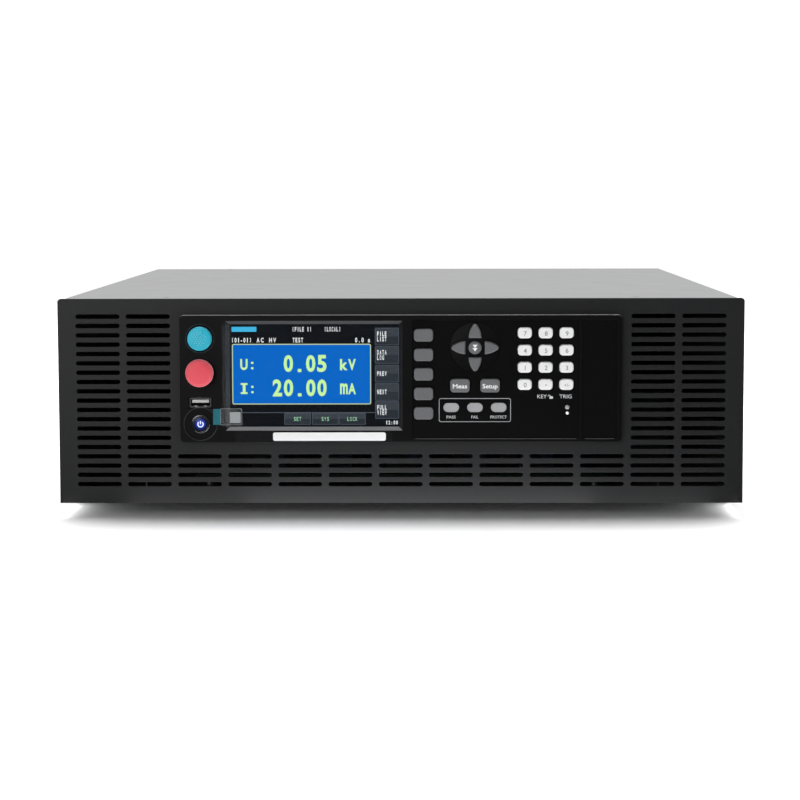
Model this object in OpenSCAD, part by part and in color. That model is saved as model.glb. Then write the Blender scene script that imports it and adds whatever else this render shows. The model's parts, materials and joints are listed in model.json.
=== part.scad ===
/* [Front panel] */
// Width of the front panel
panel_w = 430; // [420:1:460]
// Height of the front panel
panel_h = 129; // [128:0.5:145]
// Thickness of the front panel
panel_t = 3; // [2:0.5:4]
// Radius of the panel's top corners
panel_corner_r = 2.2; // [1:0.1:4]

/* [Vent slots] */
// Length of one vent slot
slot_l = 27.6; // [15:0.1:30]
// Height of one vent slot
slot_h = 2.8; // [1.5:0.1:4]
// Spacing of the slot columns
slot_pitch_x = 31.65; // [31.5:0.05:40]
// Spacing of the slot rows
slot_pitch_z = 5.88; // [5:0.01:8]
// Height of the lowest slot's centre line
slot_low_z = 12; // [11.5:0.5:20]
// Least height from the top slot's centre line to the panel's top edge
slot_top_border = 11; // [10.5:0.5:20]
// Least border between the slots and the panel's sides
slot_side_border = 11; // [8:0.5:20]
// Least border between the slots and the bezel
slot_bezel_gap = 5; // [3:0.5:8]

/* [Case] */
// Length from the panel's face to the cover's rear edge
case_l = 500; // [480:1:560]
// Step from the panel's side edge to the cover
cover_inset = 1.5; // [0.5:0.1:4]
// Step from the panel's top edge to the cover
cover_drop = 0.3; // [0:0.1:1]
// Sheet thickness of the cover
cover_t = 1.2; // [1:0.1:2]
// Outer bend radius of the cover
cover_bend_r = 2.4; // [2.2:0.1:4]
// Gap between the cover's lower edges and the tray's underside level
cover_lift = 1; // [0.5:0.1:3]
// Sheet thickness of the base tray
tray_t = 1.2; // [1:0.1:2]
// Height of the tray's side walls
tray_wall_h = 40; // [30:1:60]
// Height of the tray's front and rear lips
tray_lip_h = 9; // [8:0.5:10]
// Sheet thickness of the rear panel
rear_t = 1.5; // [1:0.1:2.5]
// Step from the cover's rear edge to the rear panel
rear_inset = 1.5; // [0.5:0.1:5]
// Depth of the rear panel's top flange
flange_d = 20; // [16:1:30]
// Depth of the angle between the panel and the cover
angle_d = 30; // [27:1:40]
// Share of the height above the bezel's collar that the angle's upright leg takes
angle_share = 0.67; // [0.5:0.01:0.8]
// Sheet thickness of that angle
angle_t = 1.5; // [1:0.1:2]
// Clearance between nested sheets
fold_clear = 0.2; // [0.1:0.05:0.4]

/* [Screws] */
// Radius of the screw shanks
screw_r = 1.5; // [1.25:0.05:2]
// Length of the screw shanks
screw_l = 7; // [5:0.5:10]
// Radius of the pan heads
pan_r = 2.9; // [2.6:0.1:3.4]
// Height of the pan heads
pan_h = 2; // [1.5:0.1:2.5]
// Clearance round the screws
screw_clear = 0.05; // [0.02:0.01:0.2]
// Distance of the top screws from the middle
top_screw_x = 148.8; // [100:0.1:190]
// Distance of the front top screws from the panel's face
top_screw_front = 22; // [15:0.5:26]
// Distance of the rear top screws from the cover's rear edge
top_screw_rear = 10; // [8:0.5:14]
// Height of the side screws
side_screw_z = 20; // [12:0.5:28]
// Distance of the end side screws from the case's ends
side_screw_inset = 60; // [30:1:120]
// Distance of the rear panel's outer screws from the middle
rear_screw_x = 150; // [60:1:190]

/* [Feet] */
// Height of the feet
foot_h = 8; // [7:0.5:15]
// Radius of the feet at the top
foot_r = 12; // [9:0.5:16]
// Taper of the feet towards the floor
foot_taper = 1.5; // [0:0.1:2.5]
// Thickness of rubber above the foot screw's head
foot_web = 3; // [2:0.5:4]
// Distance of the feet from the panel's sides
foot_side = 45; // [30:1:80]
// Distance of the front feet from the panel's face
foot_front = 78; // [60:1:110]
// Distance of the rear feet from the cover's rear edge
foot_rear = 55; // [35:1:100]

/* [Bezel] */
// Least height of the bezel
bezel_least_h = 80; // [79:0.5:86]
// Height of the bezel's lower edge above the panel's lower edge
bezel_lift = 39; // [38:0.5:40]
// How far the bezel stands out of the panel
bezel_proud = 5; // [4.5:0.1:8]
// Thickness of the bezel's front wall
bezel_wall = 3; // [2.5:0.1:3.5]
// How far the bezel's rim laps over the panel
bezel_lap = 2; // [1.5:0.1:2]
// Thickness of the collar that passes through the panel
collar_t = 1.8; // [1.2:0.1:1.8]
// Radius of the bezel's corners
bezel_corner_r = 2.5; // [2:0.1:5]
// Radius of the bezel's front edge
bezel_edge_r = 0.6; // [0.3:0.1:0.9]
// Clearance between the collar and the panel
collar_clear = 0.3; // [0.1:0.05:0.5]
// Width of the strip left of the window
control_w = 28.6; // [28.2:0.1:32]
// Gap between the window and the key field
window_gap = 6.2; // [6:0.1:10]
// Width of the key field
field_w = 104.2; // [104:0.1:110]
// Height of the key field
field_h = 74.2; // [73.5:0.1:75]
// Height of the fields' lower edge above the bezel's
field_low = 2.4; // [2:0.1:3]
// Depth of the fields
field_depth = 0.6; // [0.5:0.1:1]
// Gap between the key field and the blank field
field_gap = 2.1; // [1.5:0.1:4]
// Width of the blank field
blank_w = 21.5; // [15:0.1:30]
// Rim right of the blank field
field_rim = 2.7; // [2:0.1:5]
// Thickness of the overlays in the fields
overlay_t = 0.4; // [0.2:0.05:0.45]
// Clearance round the overlays and their holes
overlay_clear = 0.2; // [0.1:0.05:0.3]

/* [Screen] */
// Width of the window at the bezel's face
window_w = 110.7; // [105:0.1:120]
// Height of the window at the bezel's face
window_h = 68.8; // [66:0.1:69]
// Height of the window's lower edge above the bezel's
window_low = 7.5; // [7:0.1:8]
// Least rim above the window
window_top = 3.7; // [3.5:0.1:5]
// Width of the window's bevel
window_bevel = 2.2; // [1.5:0.1:2.4]
// Depth of the window's bevel
bevel_depth = 2.4; // [1.5:0.1:2.4]
// Radius of the window's inner corners
window_corner_r = 0.6; // [0.3:0.1:1]
// How far the screen module reaches behind the window's edge
lcd_lap = 1.7; // [1.2:0.1:1.8]
// Thickness of the screen module
lcd_t = 4; // [3:0.5:6]
// Thickness of the screen film
film_t = 0.2; // [0.1:0.05:0.3]
// Width of the film on the bezel left of the window
film_over = 2; // [1:0.1:3]
// Length of the film's pull tab
tab_l = 6; // [4:0.1:7]
// Height of the film's pull tab
tab_h = 10; // [6:0.1:14]
// Height of the tab's lower edge above the window's lower edge
tab_low = 3.6; // [3:0.1:10]

/* [Keys] */
// Width of a soft key
soft_w = 12; // [10:0.1:12.5]
// Height of a soft key
soft_h = 7.9; // [7:0.1:9.4]
// Spacing of the soft keys
soft_pitch = 12.2; // [11.5:0.1:12.8]
// Soft keys from the key field's left edge
soft_x = 7; // [7:0.1:9]
// Middle soft key above the bezel's lower edge
soft_z = 42.9; // [40:0.1:44]
// Middle column from the key field's left edge
mid_x = 39.1; // [38:0.1:42]
// Cursor keys' middle above the bezel's lower edge
nav_z = 59.5; // [58.5:0.1:60]
// Radius of the round centre key
enter_r = 4.1; // [3.5:0.05:4.5]
// Distance from the cursor keys' middle to a petal's foot
petal_base = 6; // [5.6:0.05:6.5]
// Width of a petal at its foot
petal_w = 8; // [6:0.1:8.2]
// Height of a petal's pointed outline
petal_l = 9.5; // [8:0.1:10]
// Distance from the middle to a petal's tip
petal_reach = 14.7; // [14.2:0.1:15.2]
// Radius of a petal's rounded tip
petal_tip_r = 1.7; // [1.2:0.1:2]
// Radius of the round rise below the cursor keys
rise_r = 15.6; // [15.5:0.1:16.5]
// Height of that rise over the field
rise_h = 1.1; // [0.7:0.1:1.5]
// Width of a function key
func_w = 12.2; // [10:0.1:14]
// Height of a function key
func_h = 8.5; // [7:0.1:10]
// Spacing of the two function keys
func_pitch = 18.8; // [17:0.1:22]
// Function keys above the bezel's lower edge
func_z = 35.8; // [35.5:0.1:36.5]
// Width of a number key
digit_w = 8.7; // [7:0.1:9.5]
// Height of a number key
digit_h = 6.7; // [6:0.1:7.5]
// Spacing of the number key columns
digit_pitch_x = 13; // [12.5:0.1:13.5]
// Spacing of the number key rows
digit_pitch_z = 10.75; // [10.5:0.05:11.2]
// Middle number column from the key field's left edge
digit_x = 83.1; // [82:0.1:84]
// Top number row above the bezel's lower edge
digit_top_z = 68.7; // [68:0.1:69.5]
// Corner radius of the keys
key_corner_r = 2.3; // [1.5:0.1:3]
// Edge radius of the keys
key_edge_r = 0.7; // [0.3:0.1:0.75]
// How far the keys stand out of the bezel
key_proud = 2; // [1.5:0.1:3]
// Travel of the keys
key_travel = 1; // [0.4:0.1:1.2]
// Clearance round the keys
key_clear = 0.3; // [0.2:0.05:0.35]
// How far a key's lip reaches behind the bezel
key_lip = 0.9; // [0.6:0.1:1]
// Thickness of that lip
key_lip_t = 1; // [0.6:0.1:1.2]
// Radius of the keys' plungers
plunger_r = 1.5; // [1:0.1:2]

/* [Controls] */
// Controls from the bezel's left edge
control_x = 12.7; // [12.6:0.1:14]
// START button above the bezel's lower edge
start_z = 65.3; // [65:0.1:66.5]
// Radius of the START button
start_r = 7.5; // [6:0.1:7.9]
// How far the START button stands out
start_proud = 4; // [3:0.1:6]
// STOP button above the bezel's lower edge
stop_z = 44; // [43:0.1:45]
// Radius of the STOP button's head
stop_r = 8.7; // [8.5:0.1:10]
// Radius of the STOP button's neck
stop_neck_r = 7.2; // [5:0.1:7.8]
// How far the STOP button stands out
stop_proud = 8; // [7:0.1:10]
// Travel of the START and STOP buttons
push_travel = 2.5; // [1:0.1:2.6]
// Crown height of the START button
start_crown = 0.5; // [0.2:0.1:1]
// Crown height of the STOP button
stop_crown = 1.4; // [0.5:0.1:2]
// How far the push buttons' lips reach behind the bezel
push_lip = 0.6; // [0.4:0.05:0.65]
// Radius of the push buttons' stems
stem_r = 4; // [3:0.1:5]
// Power button above the bezel's lower edge
power_z = 11.7; // [11:0.1:12]
// Radius of the power button's collar
power_collar_r = 5.9; // [5.7:0.1:7]
// Radius of the power button's lit face
power_r = 4.5; // [4:0.1:4.6]
// How far the power collar stands out of its dish
power_proud = 1.6; // [1:0.1:3]
// Travel of the power button
power_travel = 1.2; // [0.6:0.1:1.5]
// Radius of the dish round the power button
dish_r = 10.4; // [8:0.1:10.4]
// Depth of that dish
dish_depth = 0.7; // [0.4:0.1:1]
// USB socket above the bezel's lower edge
usb_z = 25.1; // [24.5:0.1:26]
// Width of the USB shell
usb_w = 13.2; // [13:0.1:13.6]
// Height of the USB shell
usb_h = 5.9; // [5.7:0.1:6.2]
// Wall of the USB shell
usb_wall = 0.4; // [0.3:0.05:0.5]
// Setback of the USB shell from the bezel's face
usb_setback = 0.4; // [0.2:0.1:0.8]
// Thickness of the USB tongue
tongue_t = 1.9; // [1.6:0.1:2]

/* [Lights] */
// Length of an indicator lens
lens_l = 9.7; // [8:0.1:11.5]
// Height of an indicator lens
lens_h = 5.7; // [5:0.1:7]
// Spacing of the indicator lenses
lens_pitch = 14.85; // [14.2:0.05:15.5]
// Indicator lenses above the bezel's lower edge
lens_z = 22; // [21.5:0.1:23]
// How far the lenses stand out
lens_proud = 0.7; // [0.3:0.1:1.2]
// Clearance round the lenses and status lights
lens_clear = 0.05; // [0.02:0.01:0.15]
// Status lights from the key field's left edge
led_x = 96.8; // [90:0.1:98]
// Upper status light above the bezel's lower edge
led_z = 22.1; // [21:0.1:23]
// Spacing of the two status lights
led_pitch = 3.7; // [3.6:0.1:5]
// Radius of the upper status light
led_big_r = 1.4; // [1.2:0.1:1.7]
// Radius of the lower status light
led_small_r = 0.9; // [0.8:0.1:1.2]

/* [Key board] */
// Distance of the key board from the panel's face
board_setback = 8; // [7.8:0.1:12]
// Thickness of the circuit boards
board_t = 1.6; // [1:0.1:2]
// Clearance round the key board
board_clear = 0.4; // [0.2:0.1:1]
// Radius of the bosses that carry the key board
boss_r = 1.8; // [1.2:0.1:1.8]
// Distance of the bosses from the middle of the bezel's height
boss_z = 28; // [20:0.5:30]
// Width of a tact switch
switch_w = 6; // [5:0.1:6.5]
// Height of a tact switch's body
switch_body_h = 3.5; // [3:0.1:3.6]
// Height of a tact switch's button
switch_stem_h = 1.3; // [0.8:0.1:1.4]
// Gap left above a switch with its key pressed
switch_gap = 0.1; // [0.05:0.05:0.2]

/* [Fans] */
// Side of a fan
fan_w = 80; // [70:1:92]
// Depth of a fan
fan_d = 25; // [24:1:32]
// Spacing of the two fans
fan_pitch = 93; // [93:1:110]
// Middle of the fans from the rear panel's middle
fan_x = -18; // [-30:1:0]
// Height of the fans' axes
fan_z = 66; // [60:0.5:70]
// Wall between a fan's bore and its side
fan_wall = 2; // [1.5:0.1:3]
// Distance of a fan's screws from its sides
fan_screw_inset = 4.25; // [4:0.05:5]
// Radius of a fan's hub
hub_r = 16; // [13:0.5:20]
// Radius of a fan's shaft
shaft_r = 1.5; // [1:0.1:2.5]
// Running clearance of that shaft
shaft_clear = 0.05; // [0.02:0.01:0.1]
// Gap between the blades and the fan's bore
blade_gap = 1.4; // [0.8:0.1:2.5]
// Number of blades
blade_count = 7; // [5:1:9]
// Thickness of a blade
blade_t = 1.3; // [1:0.1:2]
// Pitch of the blades in degrees
blade_pitch = 38; // [25:1:45]
// Bend radius of the blades
blade_bend_r = 26; // [20:1:40]
// Radius of the guard wires
wire_r = 0.8; // [0.6:0.05:1.2]
// Spacing of the guard rings
ring_pitch = 8; // [6:0.5:10]

/* [Rear sockets] */
// Mains inlet from the rear panel's left edge
inlet_x = 32; // [25:0.5:45]
// Height of the mains inlet
inlet_z = 36; // [30:0.5:60]
// Width of the mains inlet's flange
inlet_w = 31; // [30:0.1:34]
// Height of the mains inlet's flange
inlet_h = 25; // [24:0.1:28]
// Thickness of the mains inlet's flange
inlet_flange_t = 3; // [2:0.1:4]
// Depth of the mains inlet's socket
inlet_depth = 16; // [14:0.5:18]
// Wall of the mains inlet
inlet_wall = 1.5; // [1:0.1:1.8]
// Step from the mains inlet's flange to its body
inlet_lap = 2; // [1:0.1:2]
// Signal sockets from the rear panel's right edge
port_x = 96; // [90:0.5:100]
// Height of the upper signal socket
port_z = 96; // [85:0.5:105]
// Spacing of the signal sockets
port_pitch = 22; // [18:0.5:30]
// Shell width of the upper signal socket
port_big_w = 39; // [30:0.5:42]
// Shell width of the lower signal socket
port_small_w = 17; // [15:0.5:25]
// Shell height of the signal sockets
port_h = 8.4; // [7:0.1:10]
// How far the signal sockets stand out
port_proud = 6; // [4:0.1:8]
// Output terminals from the rear panel's right edge
term_x = 36; // [30:0.5:45]
// Height of the high-voltage terminal
hv_z = 78; // [70:0.5:95]
// Sleeve radius of the high-voltage terminal
hv_r = 11; // [9:0.1:14]
// Bore radius of the high-voltage terminal
hv_bore_r = 4; // [3:0.1:6]
// Height of the return terminal
return_z = 38; // [30:0.5:45]
// Sleeve radius of the return terminal
return_r = 8; // [6:0.1:11]
// Bore radius of the return terminal
return_bore_r = 2.05; // [2:0.01:4]
// How far the terminals stand out
term_l = 22; // [18:0.5:30]
// Thickness of the terminals' flanges
term_flange_t = 3; // [2:0.1:4]
// Step from a terminal's sleeve to its flange
term_flange_step = 3; // [2:0.1:4]
// Depth of the terminals' bores
term_bore_l = 17; // [12:0.5:24]
// Ground post from the rear panel's right edge
post_x = 76; // [70:0.5:85]
// Height of the ground post
post_z = 30; // [25:0.5:40]
// Radius of the ground post
post_r = 3; // [2:0.1:4]
// How far the ground post stands out
post_l = 17; // [15:0.5:20]
// Radius of the thumb nut
nut_r = 7.5; // [6:0.1:10]
// Length of the thumb nut
nut_l = 8; // [6:0.1:9]
// Clearance of the thumb nut on its post
nut_clear = 0.05; // [0.02:0.01:0.1]
// Clearance of the sockets in the rear panel
port_clear = 0.15; // [0.1:0.05:0.3]

/* [Inside] */
// Width of the transformer core's middle limb
core_limb = 35; // [28:0.5:38]
// Stack depth of the transformer core
core_d = 60; // [45:1:75]
// How far the winding bulges out of the core
coil_bulge = 18; // [10:0.5:24]
// Clearance between the winding and the core
coil_clear = 0.5; // [0.3:0.05:0.8]
// Gap between the transformer's foot and the tray's wall
core_side = 18.9; // [10:0.1:25]
// Transformer from the panel's face
core_y = 360; // [340:1:380]
// Width of the power supply
supply_w = 115; // [100:1:125]
// Length of the power supply
supply_l = 205; // [180:1:230]
// Height of the power supply
supply_h = 48; // [40:1:60]
// Gap between the power supply and the tray's wall
supply_side = 19.4; // [12:0.1:25]
// Power supply's middle from the panel's face
supply_y = 325; // [320:1:340]
// Width of the heat sink
sink_w = 66; // [50:1:75]
// Length of the heat sink
sink_l = 140; // [100:1:160]
// Height of the heat sink
sink_h = 68; // [40:1:90]
// Thickness of the heat sink's base
sink_base = 8; // [5:0.5:12]
// Thickness of the heat sink's fins
fin_t = 2; // [1.5:0.1:3]
// Spacing of the heat sink's fins
fin_pitch = 7; // [5:0.1:12]
// Heat sink's middle from the panel's face
sink_y = 350; // [330:1:370]
// Width of the main board
main_w = 270; // [220:1:300]
// Depth of the main board
main_d = 130; // [110:1:150]
// Main board's middle from the panel's face
main_y = 125; // [120:1:135]
// Height of the studs under the main board
stud_h = 8; // [5:0.5:12]
// Radius of those studs
stud_r = 3; // [2:0.1:4]
// Studs from the main board's edges
stud_inset = 8; // [5:0.5:12]

/* [Hidden] */
$fn = 64;
soft_count = 5;
num_cols = 3;
num_names = ["7", "8", "9", "4", "5", "6", "1", "2", "3", "0", "dot", "sign"];
petal_names = ["nav_right", "nav_up", "nav_left", "nav_down"];
soft_names = [for (i = [1:soft_count]) str("soft_key_", i)];
num_nodes = [for (name = num_names) str("num_key_", name)];
case_nodes = ["front_panel", "top_cover", "base_tray", "rear_panel", "cover_angle", "case_screws",
    "pan_screws", "feet"];
bezel_nodes = ["bezel", "panel_overlays", "lcd_module", "screen_film", "nav_enter", "meas_key", "setup_key",
    "start_button", "stop_button", "power_button", "power_collar", "switch_barrels", "indicator_lenses",
    "status_lights", "usb_socket", "key_board", "key_switches"];
inner_nodes = ["transformer_core", "transformer_coil", "power_supply", "main_board", "heat_sink"];
rear_nodes = ["fan_frames", "fan_rotor_left", "fan_rotor_right", "fan_guards", "mains_inlet",
    "signal_sockets", "output_terminals", "ground_post", "ground_nut"];

// Cover, tray and rear panel
case_w = panel_w - 2 * cover_inset;
cover_top = panel_h - cover_drop;
inner_w = case_w - 2 * cover_t;
inner_top = cover_top - cover_t;
tray_w = inner_w - 2 * fold_clear;
rear_w = tray_w - 2 * tray_t - 2 * fold_clear;
rear_y = case_l - rear_inset;
sink_head_r = screw_r + cover_t;
mid_y = (rear_y + max(term_l, post_l) - bezel_proud - stop_proud) / 2;

// Bezel, measured from its own left and lower edges
bezel_w = control_w + window_w + window_gap + field_w + field_gap + blank_w + field_rim;
bezel_h = max(bezel_least_h, window_low + window_h + window_top);
left_x = -bezel_w / 2;
window_x = left_x + control_w + window_w / 2;
window_z = bezel_lift + window_low + window_h / 2;
field_x = left_x + control_w + window_w + window_gap;
blank_x = field_x + field_w + field_gap;
collar_w = bezel_w - 2 * bezel_lap;
collar_h = bezel_h - 2 * bezel_lap;
bezel_mid_z = bezel_lift + bezel_h / 2;
keys_z = bezel_mid_z - bezel_least_h / 2;
field_z = keys_z + field_low + field_h / 2;

// Depths in front of the key board's front face
face_d = board_setback + bezel_proud;
wall_d = face_d - bezel_wall;
field_d = face_d - field_depth;
lip_d = wall_d - key_clear - key_lip_t;
plunger_d = switch_body_h + switch_stem_h + key_travel + switch_gap;
barrel_d = lip_d - push_travel - key_clear;

lens_w_out = lens_l + 2 * key_lip;
petal_arc_r = (petal_l * petal_l + petal_w * petal_w / 4) / petal_w;
petal_mid = petal_base + (petal_reach - petal_base) / 2 - plunger_r / 2;

// Fans
fan_bore_r = fan_w / 2 - fan_wall;
fan_screw_pitch = fan_w - 2 * fan_screw_inset;
blade_tip_r = fan_bore_r - blade_gap;
fan_flange_t = 4;
strut_t = 3;
hub_gap = 0.4;
hub_sink = 2.5;
hub_top = rear_t + hub_sink;
hub_l = fan_d + rear_t - strut_t - hub_gap - hub_top;
over = 1;

function soft_at(i) = [field_x + soft_x, keys_z + soft_z + (2 - i) * soft_pitch];
function num_at(i) = [field_x + digit_x + (i % num_cols - 1) * digit_pitch_x,
    keys_z + digit_top_z - floor(i / num_cols) * digit_pitch_z];
function func_at(side) = [field_x + mid_x + side * func_pitch / 2, keys_z + func_z];
function lens_at(i) = [field_x + mid_x + (i - 1) * lens_pitch, keys_z + lens_z];
nav_at = [field_x + mid_x, keys_z + nav_z];
start_at = [left_x + control_x, keys_z + start_z];
stop_at = [left_x + control_x, keys_z + stop_z];
usb_at = [left_x + control_x, keys_z + usb_z];
power_at = [left_x + control_x, keys_z + power_z];
led_big_at = [field_x + led_x, keys_z + led_z];
led_small_at = [field_x + led_x, keys_z + led_z - led_pitch];
boss_at = [for (x = [left_x + control_w - 2 * boss_r, field_x - window_gap / 2, blank_x + blank_w / 2])
    for (side = [-1, 1]) [x, bezel_mid_z + side * boss_z]];
inlet_at = [-rear_w / 2 + inlet_x, inlet_z];
hv_at = [rear_w / 2 - term_x, hv_z];
return_at = [rear_w / 2 - term_x, return_z];
post_at = [rear_w / 2 - post_x, post_z];
port_at = [rear_w / 2 - port_x, port_z];
fan_at = [[fan_x - fan_pitch / 2, fan_z], [fan_x + fan_pitch / 2, fan_z]];
foot_at = [for (x = [-1, 1]) for (y = [foot_front, case_l - foot_rear]) [x * (panel_w / 2 - foot_side), y]];
top_screw_at = [for (x = [-1, 1]) for (y = [top_screw_front, case_l - top_screw_rear])
    [x * top_screw_x, y]];
side_screw_at = [side_screw_inset, case_l / 2, case_l - side_screw_inset];
rear_screw_at = [for (x = [-1, -1 / 3, 1 / 3, 1]) [x * rear_screw_x, (tray_t + tray_lip_h) / 2]];
fan_screw_at = [for (at = fan_at) for (x = [-1, 1]) for (z = [-1, 1])
    at + [x, z] * fan_screw_pitch / 2];
main_z = tray_t + stud_h;
core_x = tray_w / 2 - tray_t - core_side - 2 * core_limb;
supply_x = tray_w / 2 - tray_t - supply_side - supply_w / 2;
stud_at = [for (x = [-1, 1]) for (y = [-1, 1])
    [x * (main_w / 2 - stud_inset), main_y + y * (main_d / 2 - stud_inset)]];

// The whole part stands on its feet, centred
module placed() {
    translate([0, -mid_y, foot_h]) children();
}

// Front pieces: x across, y up, z towards the viewer from the key board's front face
module front_frame() {
    placed() translate([0, board_setback, 0]) rotate([90, 0, 0]) children();
}

// Rear pieces, seen from behind: x across, y up, z outwards from the rear panel's face
module rear_frame() {
    placed() translate([0, rear_y, 0]) rotate([90, 0, 180]) children();
}

module rounded(w, h, r) {
    square([w - 2 * r, h], center = true);
    square([w, h - 2 * r], center = true);
    for (x = [-1, 1]) for (y = [-1, 1]) translate([x * (w / 2 - r), y * (h / 2 - r)]) circle(r);
}

module stadium(l, h) {
    square([l - h, h], center = true);
    for (x = [-1, 1]) translate([x * (l - h) / 2, 0]) circle(h / 2);
}

// Half profile of a block whose top edge is rounded
module shoulder(half, t, edge) {
    square([half - edge, t]);
    square([half, t - edge]);
    translate([half - edge, t - edge]) circle(edge);
}

// Rounded block with a rounded top edge
module soft_block(w, h, t, r, edge) {
    for (turn = [[w, h, 0], [h, w, 90]])
        rotate([0, 0, turn[2]]) rotate([90, 0, 0]) linear_extrude(turn[1] - 2 * r, center = true) {
            shoulder(turn[0] / 2, t, edge);
            mirror([1, 0]) shoulder(turn[0] / 2, t, edge);
        }
    for (x = [-1, 1]) for (y = [-1, 1])
        translate([x * (w / 2 - r), y * (h / 2 - r), 0]) rotate_extrude() shoulder(r, t, edge);
}

// Profile of a turned button with a rounded edge and a crowned face
module crowned(r, h, crown, edge) {
    ball_r = (r * r + crown * crown) / (2 * crown);
    intersection() {
        union() {
            square([r - edge, h]);
            square([r, h - crown - edge]);
            translate([r - edge, h - crown - edge]) circle(edge);
        }
        square([r, h]);
        translate([0, h - ball_r]) circle(ball_r, $fn = 256);
    }
}

// Block with a wider foot, cut square at both ends, for bevelled openings
module bevel_cut(w, h, bevel, depth) {
    intersection() {
        rotate([90, 0, 0]) linear_extrude(h + over, center = true) bevel_profile(w, bevel, depth);
        rotate([0, 0, 90]) rotate([90, 0, 0]) linear_extrude(w + over, center = true)
            bevel_profile(h, bevel, depth);
    }
}

module bevel_profile(w, bevel, depth) {
    polygon([[-w / 2 + bevel, -depth], [w / 2 - bevel, -depth], [w / 2, 0], [w / 2, over], [-w / 2, over],
        [-w / 2, 0]]);
}

module soft_outline(grow) {
    rounded(soft_w + 2 * grow, soft_h + 2 * grow, key_corner_r + grow);
}

module func_outline(grow) {
    rounded(func_w + 2 * grow, func_h + 2 * grow, key_corner_r + grow);
}

module num_outline(grow) {
    rounded(digit_w + 2 * grow, digit_h + 2 * grow, key_corner_r + grow);
}

// Pointed arch with a rounded tip, pointing up from the cursor keys' middle
module petal_outline(grow) {
    tip_y = petal_reach - petal_tip_r;
    translate([0, tip_y]) circle(petal_tip_r + grow, $fn = 48);
    intersection() {
        translate([petal_w / 2 - petal_arc_r, petal_base]) circle(petal_arc_r + grow, $fn = 96);
        translate([petal_arc_r - petal_w / 2, petal_base]) circle(petal_arc_r + grow, $fn = 96);
        translate([-petal_w, petal_base - grow])
            square([2 * petal_w, tip_y + petal_tip_r / 2 - petal_base + grow]);
    }
}

// All key openings, grown by a clearance
module key_openings(grow) {
    for (i = [0:soft_count - 1]) translate(soft_at(i)) soft_outline(grow);
    for (i = [0:len(num_names) - 1]) translate(num_at(i)) num_outline(grow);
    for (side = [-1, 1]) translate(func_at(side)) func_outline(grow);
}

module nav_openings(grow) {
    translate(nav_at) circle(enter_r + grow);
    for (i = [0:3]) translate(nav_at) rotate(i * 90 - 90) petal_outline(grow);
}

module light_openings(grow) {
    for (i = [0:2]) translate(lens_at(i)) stadium(lens_l + 2 * grow, lens_h + 2 * grow);
    translate(led_big_at) circle(led_big_r + grow);
    translate(led_small_at) circle(led_small_r + grow);
}

module control_openings() {
    translate(start_at) circle(start_r + key_clear);
    translate(stop_at) circle(stop_neck_r + key_clear);
    translate(power_at) circle(power_r + power_wall() + lens_clear);
    translate(usb_at) rounded(usb_w + 2 * key_clear, usb_h + 2 * key_clear, usb_corner_r());
}

function power_wall() = (power_collar_r - power_r) / 2;
function usb_corner_r() = 2 * usb_wall;

module film_field(x, w) {
    translate([x + w / 2, field_z])
        square([w - 2 * overlay_clear, field_h - 2 * overlay_clear], center = true);
}

// Lip and plunger behind a key's cap; the children draw the lip
module key_back() {
    translate([0, 0, lip_d]) linear_extrude(key_lip_t) children();
    translate([0, 0, plunger_d]) cylinder(r = plunger_r, h = lip_d - plunger_d + key_lip_t);
}

// Keycap with rounded edges; the child draws its outline, grown for the lip
module block_key(w, h) {
    translate([0, 0, lip_d]) soft_block(w, h, face_d + key_proud - lip_d, key_corner_r, key_edge_r);
    key_back() children();
}

module front_panel() {
    color("DimGray") front_frame() translate([0, 0, board_setback - panel_t]) linear_extrude(panel_t)
        difference() {
            panel_outline();
            translate([0, bezel_mid_z])
                rounded(collar_w + 2 * collar_clear, collar_h + 2 * collar_clear,
                    bezel_corner_r + collar_clear);
            vent_slots();
        }
}

module panel_outline() {
    translate([-panel_w / 2, 0]) square([panel_w, panel_h - panel_corner_r]);
    translate([-panel_w / 2 + panel_corner_r, 0]) square([panel_w - 2 * panel_corner_r, panel_h]);
    for (x = [-1, 1]) translate([x * (panel_w / 2 - panel_corner_r), panel_h - panel_corner_r])
        circle(panel_corner_r);
}

// Rows and columns of slots, left out where the bezel stands
module vent_slots() {
    cols = floor((panel_w - 2 * slot_side_border - slot_l) / slot_pitch_x) + 1;
    rows = floor((panel_h - slot_low_z - slot_top_border) / slot_pitch_z) + 1;
    for (col = [0:cols - 1]) for (row = [0:rows - 1]) {
        x = (col - (cols - 1) / 2) * slot_pitch_x;
        z = slot_low_z + row * slot_pitch_z;
        beside = abs(x) - slot_l / 2 > bezel_w / 2 + slot_bezel_gap;
        below = z + slot_h / 2 < bezel_lift - slot_bezel_gap;
        if (beside || below) translate([x, z]) stadium(slot_l, slot_h);
    }
}

module top_cover() {
    color("Gray") placed() difference() {
        translate([0, case_l, 0]) rotate([90, 0, 0]) linear_extrude(case_l - panel_t) difference() {
            cover_outline(case_w, cover_top, cover_bend_r);
            translate([0, -over]) cover_outline(inner_w, inner_top + over, cover_bend_r - cover_t);
        }
        for (at = top_screw_at) translate([at[0], at[1], cover_top]) screw_hole();
        for (side = [-1, 1]) for (y = side_screw_at) translate([side * case_w / 2, y, side_screw_z])
            rotate([0, side * 90, 0]) screw_hole();
    }
}

module cover_outline(w, top, r) {
    translate([-w / 2, cover_lift]) square([w, top - cover_lift - r]);
    translate([-w / 2 + r, cover_lift]) square([w - 2 * r, top - cover_lift]);
    for (x = [-1, 1]) translate([x * (w / 2 - r), top - r]) circle(r);
}

// Countersunk hole through the cover, from its outer face down
module screw_hole() {
    rotate_extrude()
        polygon([[0, -screw_l], [screw_r + screw_clear, -screw_l], [screw_r + screw_clear, -cover_t],
            [sink_head_r + screw_clear, 0], [sink_head_r + screw_clear, over], [0, over]]);
}

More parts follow.
